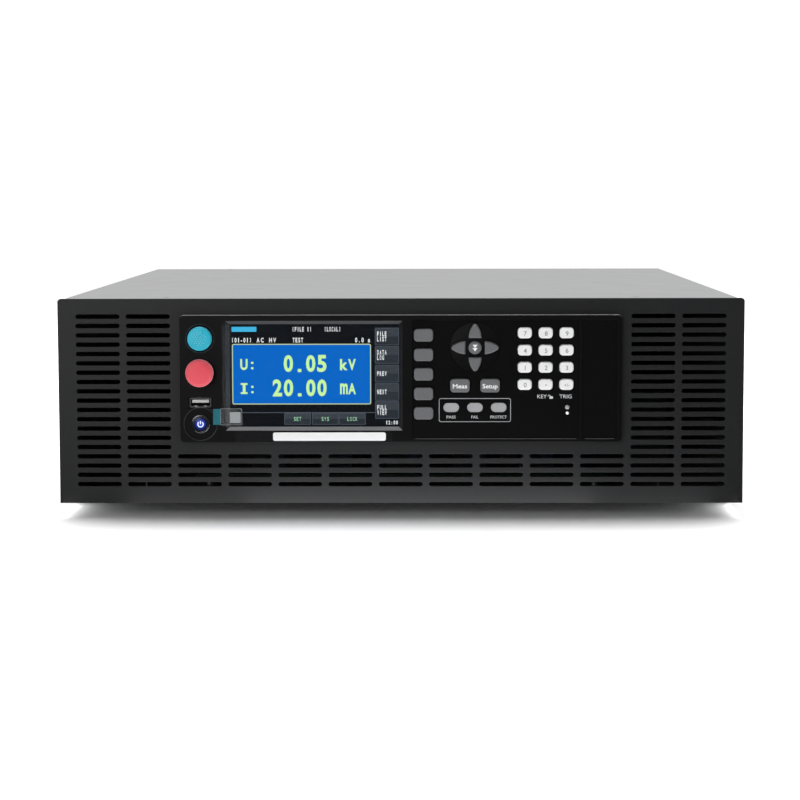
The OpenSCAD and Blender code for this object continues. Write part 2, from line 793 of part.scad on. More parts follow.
module case_screws() {
    color("Black") placed() {
        for (at = top_screw_at) translate([at[0], at[1], cover_top]) sunk_screw();
        for (side = [-1, 1]) for (y = side_screw_at) translate([side * case_w / 2, y, side_screw_z])
            rotate([0, side * 90, 0]) sunk_screw();
    }
}

module sunk_screw() {
    rotate_extrude()
        polygon([[0, -screw_l], [screw_r, -screw_l], [screw_r, -cover_t], [sink_head_r, 0], [0, 0]]);
}

// Pan-head screw whose head sits on z = 0, with its shank below
module pan_screw() {
    rotate_extrude() {
        translate([0, -screw_l]) square([screw_r, screw_l]);
        crowned(pan_r, pan_h, pan_h / 2, pan_h / 8);
    }
}

module pan_screws() {
    color("Silver") {
        rear_frame() for (at = rear_screw_at) translate(at) pan_screw();
        rear_frame() for (at = fan_screw_at) translate([at[0], at[1], eyelet_t()]) pan_screw();
        placed() for (at = foot_at) translate([at[0], at[1], -foot_web]) rotate([180, 0, 0]) pan_screw();
    }
}

function eyelet_t() = 2 * wire_r;

module base_tray() {
    color("Silver") placed() difference() {
        union() {
            translate([-tray_w / 2, panel_t, 0]) cube([tray_w, rear_y - panel_t, tray_t]);
            for (side = [-1, 1]) translate([side * (tray_w - tray_t) / 2 - tray_t / 2, panel_t, 0])
                cube([tray_t, rear_y - panel_t, tray_wall_h]);
            translate([-tray_w / 2, panel_t, 0]) cube([tray_w, tray_t, tray_lip_h]);
            translate([-tray_w / 2, rear_y - rear_t - tray_t, 0]) cube([tray_w, tray_t, tray_lip_h]);
            for (at = stud_at) translate([at[0], at[1], 0]) cylinder(r = stud_r, h = main_z);
        }
        for (at = foot_at) translate([at[0], at[1], -over])
            cylinder(r = screw_r + screw_clear, h = tray_t + 2 * over);
        for (x = [-1, 1]) for (y = side_screw_at) translate([x * tray_w / 2, y, side_screw_z])
            rotate([0, 90, 0]) cylinder(r = screw_r + screw_clear, h = 4 * tray_t, center = true);
        for (at = rear_screw_at) translate([-at[0], rear_y, at[1]])
            rotate([90, 0, 0]) cylinder(r = screw_r + screw_clear, h = screw_l + over);
    }
}

module cover_angle() {
    angle_w = rear_w - 2 * angle_d;
    angle_h = angle_share * (inner_top - bezel_mid_z - collar_h / 2);
    color("Silver") placed() difference() {
        union() {
            translate([-angle_w / 2, panel_t, inner_top - angle_t]) cube([angle_w, angle_d, angle_t]);
            translate([-angle_w / 2, panel_t, inner_top - angle_h]) cube([angle_w, angle_t, angle_h]);
        }
        for (x = [-1, 1]) translate([x * top_screw_x, top_screw_front, 0])
            cylinder(r = screw_r + screw_clear, h = panel_h);
    }
}

module rear_panel() {
    color("DarkGray") difference() {
        union() {
            placed() translate([0, rear_y, 0]) rotate([90, 0, 0]) linear_extrude(rear_t) rear_outline();
            placed() translate([-rear_w / 2, rear_y - flange_d, inner_top - rear_t])
                cube([rear_w, flange_d, rear_t]);
        }
        placed() for (x = [-1, 1]) translate([x * top_screw_x, case_l - top_screw_rear, 0])
            cylinder(r = screw_r + screw_clear, h = panel_h);
        rear_frame() translate([0, 0, -rear_t - over]) linear_extrude(rear_t + 2 * over) rear_openings();
    }
}

// Narrow between the tray's walls, and out to the cover above them
module rear_outline() {
    shoulder_z = tray_wall_h + fold_clear;
    corner_z = inner_top - cover_bend_r + cover_t;
    translate([-rear_w / 2, tray_t]) square([rear_w, inner_top - tray_t]);
    translate([-tray_w / 2, shoulder_z]) square([tray_w, corner_z - shoulder_z]);
}

module rear_openings() {
    for (at = fan_at) translate(at) circle(fan_bore_r);
    for (at = concat(fan_screw_at, rear_screw_at)) translate(at) circle(screw_r + screw_clear);
    translate(inlet_at)
        square([inlet_body_w() + 2 * port_clear, inlet_body_h() + 2 * port_clear], center = true);
    translate(port_at) port_outline(port_big_w, port_clear);
    translate(port_at - [0, port_pitch]) port_outline(port_small_w, port_clear);
    translate(hv_at) circle(hv_r - term_flange_step + port_clear);
    translate(return_at) circle(return_r - term_flange_step + port_clear);
    translate(post_at) circle(post_r + port_clear);
}

module feet() {
    hole_r = screw_r + screw_clear;
    pan_hole_r = pan_r + over;
    color("Black") placed() for (at = foot_at) translate([at[0], at[1], -foot_h]) rotate_extrude()
        difference() {
            polygon([[0, 0], [foot_r - foot_taper - over, 0], [foot_r - foot_taper, over], [foot_r, foot_h],
                [0, foot_h]]);
            square([hole_r, foot_h]);
            square([pan_hole_r, foot_h - foot_web]);
        }
}

module bezel() {
    color("Black") front_frame() difference() {
        union() {
            difference() {
                bezel_shell();
                translate([field_x + field_w / 2, field_z, field_d]) pocket(field_w);
                translate([blank_x + blank_w / 2, field_z, field_d]) pocket(blank_w);
            }
            translate([nav_at[0], nav_at[1], field_d]) rotate_extrude()
                crowned(rise_r, rise_h, rise_h * 3 / 4, rise_h / 9);
            for (at = boss_at) translate([at[0], at[1], 0]) cylinder(r = boss_r, h = wall_d + over);
        }
        translate([0, 0, wall_d - over]) linear_extrude(bezel_wall + rise_h + 2 * over) {
            key_openings(key_clear);
            nav_openings(key_clear);
            light_openings(lens_clear);
            control_openings();
        }
        translate([window_x, window_z, face_d]) bevel_cut(window_w, window_h, window_bevel, bevel_depth);
        translate([window_x, window_z, wall_d - over]) linear_extrude(bezel_wall + over)
            rounded(window_w - 2 * window_bevel, window_h - 2 * window_bevel, window_corner_r);
        translate([start_at[0], start_at[1], face_d]) ring_cut(start_r + key_clear, dish_depth);
        translate([power_at[0], power_at[1], face_d]) dish_cut();
        translate([usb_at[0], usb_at[1], face_d])
            bevel_cut(usb_w + 4 * usb_setback + 2 * key_clear, usb_h + 4 * usb_setback + 2 * key_clear,
                usb_setback, usb_setback);
    }
}

// Rimmed front with the collar that passes through the panel, hollow from behind
module bezel_shell() {
    translate([0, bezel_mid_z, 0]) difference() {
        union() {
            translate([0, 0, board_setback])
                soft_block(bezel_w, bezel_h, bezel_proud, bezel_corner_r, bezel_edge_r);
            linear_extrude(board_setback + over) rounded(collar_w, collar_h, bezel_corner_r);
        }
        translate([0, 0, -over]) linear_extrude(wall_d + over)
            square([collar_w - 2 * collar_t, collar_h - 2 * collar_t], center = true);
    }
}

module pocket(w) {
    linear_extrude(field_depth + over) square([w, field_h], center = true);
}

// Bevel round a round opening
module ring_cut(r, depth) {
    rotate_extrude() polygon([[0, -depth], [r, -depth], [r + depth, 0], [r + depth, over], [0, over]]);
}

module dish_cut() {
    rotate_extrude()
        polygon([[0, -dish_depth], [dish_r - dish_depth, -dish_depth], [dish_r, 0], [dish_r, over],
            [0, over]]);
}

module panel_overlays() {
    color("#1c1c1e") front_frame() translate([0, 0, field_d]) linear_extrude(overlay_t) difference() {
        union() {
            film_field(field_x, field_w);
            film_field(blank_x, blank_w);
        }
        key_openings(key_clear + overlay_clear);
        light_openings(lens_clear + overlay_clear);
        translate(nav_at) circle(rise_r + overlay_clear);
    }
}

module lcd_module() {
    lcd_w = window_w - 2 * window_bevel + 2 * lcd_lap;
    lcd_h = window_h - 2 * window_bevel + 2 * lcd_lap;
    color("Navy") front_frame() translate([window_x, window_z, wall_d - lcd_t]) linear_extrude(lcd_t)
        rounded(lcd_w, lcd_h, window_corner_r);
}

// Film on the screen that climbs the window's left bevel and ends in a pull tab
module screen_film() {
    half = window_w / 2;
    low = window_h / 2 - window_bevel - film_t;
    color("LightCyan") front_frame() translate([window_x, window_z, 0]) rotate([90, 0, 0]) {
        translate([0, 0, -low]) linear_extrude(2 * low) film_profile(half + film_over);
        translate([0, 0, window_h / 2 - tab_low - tab_h]) linear_extrude(tab_h)
            film_profile(half + film_over + tab_l);
    }
}

// Section of the film from the screen's right edge to its left end
module film_profile(reach) {
    half = window_w / 2;
    foot = half - window_bevel;
    land = face_d - bevel_depth;
    polygon([[foot - film_t, wall_d], [film_t - foot, wall_d], [film_t - foot, land], [-half, face_d],
        [-reach, face_d], [-reach, face_d + film_t], [film_t - half, face_d + film_t],
        [2 * film_t - foot, land], [2 * film_t - foot, wall_d + film_t], [foot - film_t, wall_d + film_t]]);
}

module soft_key(i) {
    at = soft_at(i);
    color("Gray") front_frame() translate([at[0], at[1], 0]) block_key(soft_w, soft_h)
        soft_outline(key_clear + key_lip);
}

module func_key(side) {
    at = func_at(side);
    color("Gray") front_frame() translate([at[0], at[1], 0]) block_key(func_w, func_h)
        func_outline(key_clear + key_lip);
}

module num_key(i) {
    at = num_at(i);
    color("White") front_frame() translate([at[0], at[1], 0]) block_key(digit_w, digit_h)
        num_outline(key_clear + key_lip);
}

// Petal key with a bevelled face; its lip reaches outwards only
module petal_key(i) {
    top = face_d + key_proud;
    skin = 0.01;
    color("Gray") front_frame() translate([nav_at[0], nav_at[1], 0]) rotate([0, 0, i * 90 - 90]) {
        translate([0, 0, lip_d]) linear_extrude(top - key_edge_r - lip_d) petal_outline(0);
        hull() {
            translate([0, 0, top - key_edge_r - skin]) linear_extrude(skin) petal_outline(0);
            translate([0, 0, top - skin]) linear_extrude(skin) petal_outline(-key_edge_r);
        }
        translate([0, petal_mid, 0]) key_back() translate([0, key_clear + key_lip - petal_mid])
            petal_outline(0);
    }
}

module nav_enter() {
    color("Gray") front_frame() translate([nav_at[0], nav_at[1], 0]) {
        rotate_extrude() translate([0, lip_d])
            crowned(enter_r, face_d + key_proud - lip_d, key_edge_r / 2, key_edge_r);
        key_back() circle(enter_r + 2 * key_clear);
    }
}

// Lip and stem of a turned push button
module push_back(r) {
    translate([0, lip_d]) square([r + key_clear + push_lip, key_lip_t]);
    translate([0, barrel_d - push_travel]) square([stem_r, lip_d - barrel_d + push_travel + key_lip_t]);
}

module start_button() {
    color("LightSeaGreen") front_frame() translate([start_at[0], start_at[1], 0]) rotate_extrude() {
        translate([0, lip_d]) crowned(start_r, face_d + start_proud - lip_d, start_crown, key_edge_r);
        push_back(start_r);
    }
}

module stop_button() {
    head_d = face_d + push_travel + 2 * key_clear;
    color("Crimson") front_frame() translate([stop_at[0], stop_at[1], 0]) rotate_extrude() {
        translate([0, head_d]) crowned(stop_r, face_d + stop_proud - head_d, stop_crown, 2 * key_edge_r);
        translate([0, lip_d]) square([stop_neck_r, head_d - lip_d + key_edge_r]);
        push_back(stop_neck_r);
    }
}

// Cups on the key board that guide the push buttons' stems
module switch_barrels() {
    color("DimGray") front_frame() for (at = [start_at, stop_at]) translate([at[0], at[1], 0])
        rotate_extrude() translate([stem_r + key_clear, 0]) square([boss_r, barrel_d]);
}

module power_collar() {
    floor_d = face_d - dish_depth;
    wall = power_wall();
    color("Silver") front_frame() translate([power_at[0], power_at[1], 0]) rotate_extrude() difference() {
        union() {
            square([power_r + wall, floor_d]);
            translate([0, floor_d]) shoulder(power_collar_r, power_proud, wall);
        }
        square([power_r + lens_clear, floor_d + power_proud]);
    }
}

module power_button() {
    top = face_d - dish_depth + power_proud;
    foot = power_travel + 2 * key_clear;
    color("DodgerBlue") front_frame() translate([power_at[0], power_at[1], 0]) rotate_extrude()
        translate([0, foot]) crowned(power_r, top - foot, key_clear, key_clear);
}

module indicator_lenses() {
    color("LightGray") front_frame() for (i = [0:2]) translate([lens_at(i)[0], lens_at(i)[1], 0]) {
        translate([0, 0, wall_d]) linear_extrude(bezel_wall + lens_proud) stadium(lens_l, lens_h);
        translate([0, 0, wall_d - key_lip_t]) linear_extrude(key_lip_t)
            stadium(lens_w_out, lens_h + 2 * key_lip);
    }
}

module status_lights() {
    color("White") front_frame() {
        translate([led_big_at[0], led_big_at[1], 0]) status_light(led_big_r);
        translate([led_small_at[0], led_small_at[1], 0]) status_light(led_small_r);
    }
}

// Light pipe from the key board to a domed end in the bezel
module status_light(r) {
    rotate_extrude() {
        square([r, face_d]);
        translate([0, wall_d]) crowned(r, bezel_wall + lens_proud, r / 2, r / 8);
    }
}

module usb_socket() {
    hollow_w = usb_w - 2 * usb_wall;
    hollow_h = usb_h - 2 * usb_wall;
    length = face_d - usb_setback;
    root = length / 2;
    color("Silver") front_frame() translate([usb_at[0], usb_at[1], 0]) {
        linear_extrude(length) difference() {
            rounded(usb_w, usb_h, usb_corner_r());
            square([hollow_w, hollow_h], center = true);
        }
        linear_extrude(root) square([hollow_w - 2 * screw_clear, hollow_h - 2 * screw_clear], center = true);
        translate([0, (hollow_h - tongue_t) / 4, 0]) linear_extrude(length - 2 * usb_setback)
            square([hollow_w - tongue_t, tongue_t], center = true);
    }
}

module key_board() {
    board_w = collar_w - 2 * collar_t - 2 * board_clear;
    board_h = collar_h - 2 * collar_t - 2 * board_clear;
    color("DarkGreen") front_frame() translate([-board_w / 2, bezel_mid_z - board_h / 2, -board_t])
        cube([board_w, board_h, board_t]);
}

module key_switches() {
    petal_at = [for (i = [0:3]) nav_at + petal_mid * [cos(i * 90), sin(i * 90)]];
    spots = concat([for (i = [0:soft_count - 1]) soft_at(i)], [for (i = [0:len(num_names) - 1]) num_at(i)],
        [func_at(-1), func_at(1), nav_at], petal_at);
    color("#222222") front_frame() for (at = spots) translate([at[0], at[1], 0]) {
        translate([-switch_w / 2, -switch_w / 2, 0]) cube([switch_w, switch_w, switch_body_h]);
        cylinder(r = plunger_r, h = switch_body_h + switch_stem_h);
    }
}

// Three-limbed core with its foot angles
module transformer_core() {
    leg = core_limb / 2;
    h = 5 * leg;
    color("SlateGray") placed() translate([-core_x, core_y, tray_t]) {
        translate([0, core_d / 2, 0]) rotate([90, 0, 0]) linear_extrude(core_d) difference() {
            translate([-3 * leg, 0]) square([6 * leg, h]);
            for (x = [-2, 1]) translate([x * leg, leg]) square([leg, 3 * leg]);
        }
        for (side = [-1, 1]) translate([side * 3.5 * leg - leg / 2, -core_d / 2, 0])
            cube([leg, core_d, 2 * tray_t]);
    }
}

module transformer_coil() {
    leg = core_limb / 2;
    color("Peru") placed() translate([-core_x, core_y, tray_t + leg + coil_clear])
        linear_extrude(3 * leg - 2 * coil_clear) difference() {
            rounded(4 * leg - 2 * coil_clear, core_d + 2 * coil_bulge, leg / 2);
            square([core_limb + 2 * coil_clear, core_d + 2 * coil_clear], center = true);
        }
}

// Folded-sheet supply with vent grooves and a row of screw terminals
module power_supply() {
    groove = 3;
    step = 9;
    strip = 14;
    grooves = floor((supply_l - 6 * strip) / step);
    color("Silver") placed() translate([supply_x, supply_y, tray_t]) difference() {
        translate([-supply_w / 2, -supply_l / 2, 0]) cube([supply_w, supply_l, supply_h]);
        translate([-supply_w / 2 - over, -supply_l / 2 - over, supply_h / 3])
            cube([supply_w + 2 * over, strip + over, supply_h]);
        for (i = [0:grooves - 1])
            translate([-supply_w / 3, 3 * strip - supply_l / 2 + i * step, supply_h - groove])
            cube([supply_w * 2 / 3, groove, groove + over]);
    }
}

module main_board() {
    part_h = 22;
    color("DarkGreen") placed() translate([0, main_y, main_z]) {
        translate([-main_w / 2, -main_d / 2, 0]) cube([main_w, main_d, board_t]);
        for (i = [-3:3]) translate([i * main_w / 9, main_d / 6, 0])
            cylinder(r = part_h / 3, h = part_h + board_t);
        for (i = [-2:2]) translate([i * main_w / 6 - part_h / 2, -main_d / 4, 0])
            cube([part_h, part_h, part_h]);
    }
}

// Extruded comb of fins on a base
module heat_sink() {
    fins = floor((sink_w - fin_t) / fin_pitch);
    color("Silver") placed() translate([0, sink_y + sink_l / 2, tray_t]) rotate([90, 0, 0])
        linear_extrude(sink_l) {
        translate([-sink_w / 2, 0]) square([sink_w, sink_base]);
        for (i = [0:fins]) translate([(i - fins / 2) * fin_pitch - fin_t / 2, 0]) square([fin_t, sink_h]);
    }
}

// Square fan body: two flanges, a round duct, and struts that carry the shaft
module fan_frames() {
    strut_w = 5;
    inner = -rear_t - fan_d;
    color("#1a1a1a") rear_frame() for (at = fan_at) translate([at[0], at[1], inner]) {
        for (z = [0, fan_d - fan_flange_t]) translate([0, 0, z]) linear_extrude(fan_flange_t) difference() {
            rounded(fan_w, fan_w, fan_flange_t);
            circle(fan_bore_r);
            for (x = [-1, 1]) for (y = [-1, 1]) translate([x, y] * fan_screw_pitch / 2)
                circle(screw_r + screw_clear);
        }
        linear_extrude(fan_d) difference() {
            circle(fan_w / 2);
            circle(fan_bore_r);
        }
        linear_extrude(strut_t) {
            circle(hub_r);
            for (turn = [45, 135]) rotate(turn) square([2 * fan_bore_r + fan_wall, strut_w], center = true);
        }
        cylinder(r = shaft_r, h = strut_t + hub_gap + hub_l * 3 / 4);
    }
}

// Hub with curved blades, on the frame's shaft
module fan_rotor(i) {
    blade_h = hub_l - 2;
    chord = blade_h / sin(blade_pitch);
    color("#262626") rear_frame() translate([fan_at[i][0], fan_at[i][1], -hub_top - hub_l]) difference() {
        union() {
            cylinder(r = hub_r, h = hub_l);
            for (n = [0:blade_count - 1]) rotate([0, 0, n * 360 / blade_count]) intersection() {
                translate([0, 0, 1]) cylinder(r = blade_tip_r, h = blade_h);
                translate([hub_r - over, 0, hub_l / 2]) rotate([blade_pitch, 0, 0]) blade_shell(chord);
            }
        }
        translate([0, 0, -over]) cylinder(r = shaft_r + shaft_clear, h = over + hub_l * 3 / 4 + hub_gap);
    }
}

// Piece of a thin tube, bent about the blade's own length
module blade_shell(chord) {
    translate([0, 0, -blade_bend_r]) intersection() {
        rotate([0, 90, 0]) linear_extrude(blade_tip_r) difference() {
            circle(blade_bend_r + blade_t / 2);
            circle(blade_bend_r - blade_t / 2);
        }
        translate([0, -chord / 2, 0]) cube([blade_tip_r, chord, 2 * blade_bend_r]);
    }
}

// Wire rings on four bars that end in eyelets
module fan_guards() {
    reach = fan_screw_pitch / sqrt(2);
    eyelet_r = pan_r + wire_r;
    bar_z = wire_r * 5 / 4;
    rings = floor((fan_bore_r - wire_r) / ring_pitch);
    color("Silver") rear_frame() for (at = fan_at) translate([at[0], at[1], 0]) {
        for (turn = [45:90:315]) rotate([0, 0, turn]) difference() {
            union() {
                translate([ring_pitch / 2, 0, bar_z]) rotate([0, 90, 0])
                    cylinder(r = wire_r, h = reach - eyelet_r / 2 - ring_pitch / 2);
                translate([reach, 0, 0]) cylinder(r = eyelet_r, h = eyelet_t());
            }
            translate([reach, 0, -over]) cylinder(r = screw_r + screw_clear, h = eyelet_t() + 2 * over);
        }
        for (i = [1:rings]) translate([0, 0, bar_z + wire_r * 3 / 2]) rotate_extrude()
            translate([i * ring_pitch, 0]) circle(wire_r);
    }
}

function inlet_body_w() = inlet_w - 2 * inlet_lap;
function inlet_body_h() = inlet_h - 2 * inlet_lap;

// Recessed mains inlet with two cut corners and three blades
module mains_inlet() {
    cut_w = inlet_body_w() - 2 * inlet_wall;
    cut_h = inlet_body_h() - 2 * inlet_wall;
    corner = 4.5;
    blade_w = 2;
    blade_h = 4;
    blade_back = 4;
    blade_gap_x = 7;
    blade_rise = 4;
    color("#1a1a1a") rear_frame() translate([inlet_at[0], inlet_at[1], 0]) {
        difference() {
            union() {
                linear_extrude(inlet_flange_t) rounded(inlet_w, inlet_h, inlet_lap);
                translate([0, 0, -inlet_depth]) linear_extrude(inlet_depth + over)
                    square([inlet_body_w(), inlet_body_h()], center = true);
            }
            translate([0, 0, inlet_flange_t - inlet_depth]) linear_extrude(inlet_depth + over)
                polygon([[-cut_w / 2, -cut_h / 2], [cut_w / 2, -cut_h / 2], [cut_w / 2, cut_h / 2 - corner],
                    [cut_w / 2 - corner, cut_h / 2], [corner - cut_w / 2, cut_h / 2],
                    [-cut_w / 2, cut_h / 2 - corner]]);
        }
        for (side = [-1, 0, 1])
            translate([side * blade_gap_x, blade_rise * (1 - 2 * abs(side)) / 2, -inlet_depth])
            linear_extrude(inlet_depth + inlet_flange_t - blade_back)
            square([blade_w, blade_h], center = true);
    }
}

// D-shaped outline of a signal socket
module port_outline(w, grow) {
    slant = port_h / 6;
    polygon([[-w / 2 - grow, port_h / 2 + grow], [w / 2 + grow, port_h / 2 + grow],
        [w / 2 - slant + grow, -port_h / 2 - grow], [slant - w / 2 - grow, -port_h / 2 - grow]]);
}

module signal_sockets() {
    color("Silver") rear_frame() {
        translate([port_at[0], port_at[1], 0]) signal_socket(port_big_w);
        translate([port_at[0], port_at[1] - port_pitch, 0]) signal_socket(port_small_w);
    }
}

// Socket shell on a flange between two hexagonal posts
module signal_socket(w) {
    ear = 7;
    brim = 2;
    flange_t = 1;
    hex_r = 2.7;
    translate([0, 0, -port_proud]) linear_extrude(2 * port_proud) port_outline(w, 0);
    linear_extrude(flange_t) rounded(w + 2 * ear, port_h + 2 * brim, brim);
    for (x = [-1, 1]) translate([x * (w + ear) / 2, 0, 0])
        cylinder(r = hex_r, h = port_proud - flange_t, $fn = 6);
}

// Flanged sleeve with a blind bore, held by a hexagonal nut inside
module terminal(r, bore_r) {
    neck_r = r - term_flange_step;
    nut_h = 5;
    difference() {
        union() {
            rotate_extrude() {
                square([r + term_flange_step, term_flange_t]);
                square([r, term_l - over]);
                square([r - over, term_l]);
                translate([0, -rear_t - 2 * nut_h]) square([neck_r, rear_t + 2 * nut_h + over]);
            }
            translate([0, 0, -rear_t - nut_h]) cylinder(r = r, h = nut_h, $fn = 6);
        }
        translate([0, 0, term_l - term_bore_l]) cylinder(r = bore_r, h = term_bore_l + over);
    }
}

module output_terminals() {
    color("Red") rear_frame() translate([hv_at[0], hv_at[1], 0]) terminal(hv_r, hv_bore_r);
    color("Black") rear_frame() translate([return_at[0], return_at[1], 0])
        terminal(return_r, return_bore_r);
}

// Threaded stud with a hexagonal seat, for the thumb nut
module ground_post() {
    color("Goldenrod") rear_frame() translate([post_at[0], post_at[1], 0]) {
        translate([0, 0, -rear_t - nut_l]) cylinder(r = post_r, h = post_l + rear_t + nut_l);
        cylinder(r = 2 * post_r, h = post_r, $fn = 6);
        translate([0, 0, -rear_t - post_r]) cylinder(r = 2 * post_r, h = post_r, $fn = 6);
    }
}

module ground_nut() {
    color("Goldenrod") rear_frame() translate([post_at[0], post_at[1], post_r + key_clear])
        rotate_extrude() difference() {
        union() {
            square([nut_r * 2 / 3, nut_l]);
            translate([0, nut_l / 4]) square([nut_r, nut_l * 3 / 4]);
        }
        square([post_r + nut_clear, nut_l]);
    }
}

front_panel();
top_cover();
base_tray();
rear_panel();
cover_angle();
case_screws();
pan_screws();
feet();
bezel();
panel_overlays();
lcd_module();
screen_film();
nav_enter();
func_key(-1);  // meas_key
func_key(1);  // setup_key
start_button();
stop_button();
power_button();
power_collar();
switch_barrels();
indicator_lenses();
status_lights();
usb_socket();
key_board();
key_switches();
for (i = [0:soft_count - 1]) soft_key(i);
for (i = [0:3]) petal_key(i);
for (i = [0:len(num_names) - 1]) num_key(i);
transformer_core();
transformer_coil();
power_supply();
main_board();
heat_sink();
fan_frames();
fan_rotor(0);  // fan_rotor_left
fan_rotor(1);  // fan_rotor_right
fan_guards();
mains_inlet();
signal_sockets();
output_terminals();
ground_post();
ground_nut();
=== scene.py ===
import json
import math

import bmesh
import bpy
from mathutils import Matrix, Vector


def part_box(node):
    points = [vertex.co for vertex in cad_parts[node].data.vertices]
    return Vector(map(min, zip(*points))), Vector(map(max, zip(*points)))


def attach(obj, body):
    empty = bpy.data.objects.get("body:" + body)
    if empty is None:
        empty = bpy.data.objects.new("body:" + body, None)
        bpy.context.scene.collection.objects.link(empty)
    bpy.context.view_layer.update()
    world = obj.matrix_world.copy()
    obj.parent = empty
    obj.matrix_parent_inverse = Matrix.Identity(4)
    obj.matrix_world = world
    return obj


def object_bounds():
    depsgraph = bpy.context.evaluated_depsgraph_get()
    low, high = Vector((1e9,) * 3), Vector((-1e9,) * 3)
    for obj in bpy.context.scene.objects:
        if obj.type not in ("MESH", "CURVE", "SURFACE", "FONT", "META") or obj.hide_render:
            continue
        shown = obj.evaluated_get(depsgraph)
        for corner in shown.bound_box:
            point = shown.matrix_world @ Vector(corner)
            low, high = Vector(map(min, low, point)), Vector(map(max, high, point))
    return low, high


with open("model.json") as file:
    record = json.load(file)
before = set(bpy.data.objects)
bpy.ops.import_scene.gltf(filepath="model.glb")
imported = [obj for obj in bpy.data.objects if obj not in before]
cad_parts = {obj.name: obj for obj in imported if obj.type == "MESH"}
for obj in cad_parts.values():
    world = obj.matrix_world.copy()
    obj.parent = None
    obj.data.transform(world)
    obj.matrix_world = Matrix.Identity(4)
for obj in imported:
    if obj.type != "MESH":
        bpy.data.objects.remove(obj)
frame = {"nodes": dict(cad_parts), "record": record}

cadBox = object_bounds()
nodes = frame["nodes"]
mm = 0.001
panelLow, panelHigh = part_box("front_panel")
print("frame loaded:", len(nodes), "nodes")


def addObject(name, data):
    made = bpy.data.objects.new(name, data)
    bpy.context.scene.collection.objects.link(made)
    return made


# sRGB hex to the linear colour that the shaders take
def tint(code):
    parts = [int(code[i:i + 2], 16) / 255 for i in (1, 3, 5)]
    linear = [p / 12.92 if p <= 0.04045 else ((p + 0.055) / 1.055) ** 2.4 for p in parts]
    return (*linear, 1.0)


# small node helpers: plain values go on the sockets, other nodes' outputs are linked to them
def fill(tree, node, values):
    for key, value in values.items():
        if isinstance(value, bpy.types.NodeSocket):
            tree.links.new(value, node.inputs[key])
        else:
            node.inputs[key].default_value = value


def addNode(tree, kind, settings=None, values=None):
    node = tree.nodes.new(kind)
    for key, value in (settings or {}).items():
        setattr(node, key, value)
    fill(tree, node, values or {})
    return node


def startGroup(name, inputs, outputs):
    group = bpy.data.node_groups.new(name, "ShaderNodeTree")
    for label, value in inputs.items():
        kind = "NodeSocketColor" if isinstance(value, tuple) else "NodeSocketFloat"
        group.interface.new_socket(label, in_out="INPUT", socket_type=kind).default_value = value
    for label, kind in outputs.items():
        group.interface.new_socket(label, in_out="OUTPUT", socket_type="NodeSocket" + kind)
    return group, addNode(group, "NodeGroupInput").outputs, addNode(group, "NodeGroupOutput")


def mathStep(tree, operation, *sources):
    return addNode(tree, "ShaderNodeMath", {"operation": operation}, dict(enumerate(sources))).outputs[0]


def vectorStep(tree, operation, *sources):
    return addNode(tree, "ShaderNodeVectorMath", {"operation": operation}, dict(enumerate(sources))).outputs


def blendColours(tree, factor, first, second):
    return addNode(tree, "ShaderNodeMix", {"data_type": "RGBA"}, {0: factor, 6: first, 7: second}).outputs[2]


# colour darkened by a pattern, as far as the amount says
def shadeBy(tree, colour, pattern, amount):
    rest = mathStep(tree, "SUBTRACT", 1.0, amount)
    value = mathStep(tree, "MULTIPLY_ADD", pattern, amount, rest)
    return addNode(tree, "ShaderNodeHueSaturation", None, {"Color": colour, "Value": value}).outputs["Color"]


def rampOf(tree, value, start, stop, kind="LINEAR", low=0.0, high=1.0):
    values = {"Value": value, "From Min": start, "From Max": stop, "To Min": low, "To Max": high}
    return addNode(tree, "ShaderNodeMapRange", {"interpolation_type": kind}, values).outputs["Result"]


def noiseAt(tree, place, scale, detail=2.0):
    values = {"Vector": place, "Scale": scale, "Detail": detail}
    return addNode(tree, "ShaderNodeTexNoise", None, values).outputs["Fac"]


def splitAxes(tree, place):
    return addNode(tree, "ShaderNodeSeparateXYZ", None, {0: place}).outputs


def objectPlace(tree):
    return addNode(tree, "ShaderNodeTexCoord").outputs["Object"]


# what all finishes share: noise scales with their detail, and the slope where dust begins
sharedLook = {
    "patchDetail": 3.0, "rubScale": 700.0, "specks": (90.0, 4.0), "smears": (38.0, 3.0), "dustSlope": 0.3,
}
plainGrey = (0.1, 0.1, 0.1, 1.0)


# fine texture and slow colour drift of a coated or moulded surface
def makeGrain():
    tree, given, result = startGroup(
        "surfaceGrain",
        {"Color": plainGrey, "Scale": 1500.0, "Tone": 0.1, "Patch Scale": 14.0},
        {"Color": "Color", "Height": "Float"},
    )
    place = objectPlace(tree)
    fine = noiseAt(tree, place, given["Scale"])
    patches = noiseAt(tree, place, given["Patch Scale"], sharedLook["patchDetail"])
    both = mathStep(tree, "ADD", fine, patches)
    fill(tree, result, {"Color": shadeBy(tree, given["Color"], both, given["Tone"]), "Height": fine})
    return tree


# softened edges, rubbed a little lighter: wear on most finishes, and a painted edge highlight on the grey keys and
# the STOP button
def makeEdgeWearAndHighlight():
    tree, given, result = startGroup(
        "edgeWearAndHighlight",
        {"Color": plainGrey, "Wear Color": (0.3, 0.3, 0.3, 1.0), "Width": 0.0004, "Amount": 0.5},
        {"Color": "Color", "Normal": "Vector"},
    )
    soft = addNode(tree, "ShaderNodeBevel", {"samples": 4}, {"Radius": given["Width"]}).outputs["Normal"]
    sharp = addNode(tree, "ShaderNodeNewGeometry").outputs["Normal"]
    edge = mathStep(tree, "SUBTRACT", 1.0, vectorStep(tree, "DOT_PRODUCT", soft, sharp)["Value"])
    rubbed = mathStep(tree, "MULTIPLY", edge, noiseAt(tree, objectPlace(tree), sharedLook["rubScale"]))
    mask = mathStep(tree, "MULTIPLY", rubbed, given["Amount"])
    mask.node.use_clamp = True
    fill(tree, result, {
        "Color": blendColours(tree, mask, given["Color"], given["Wear Color"]), "Normal": soft})
    return tree


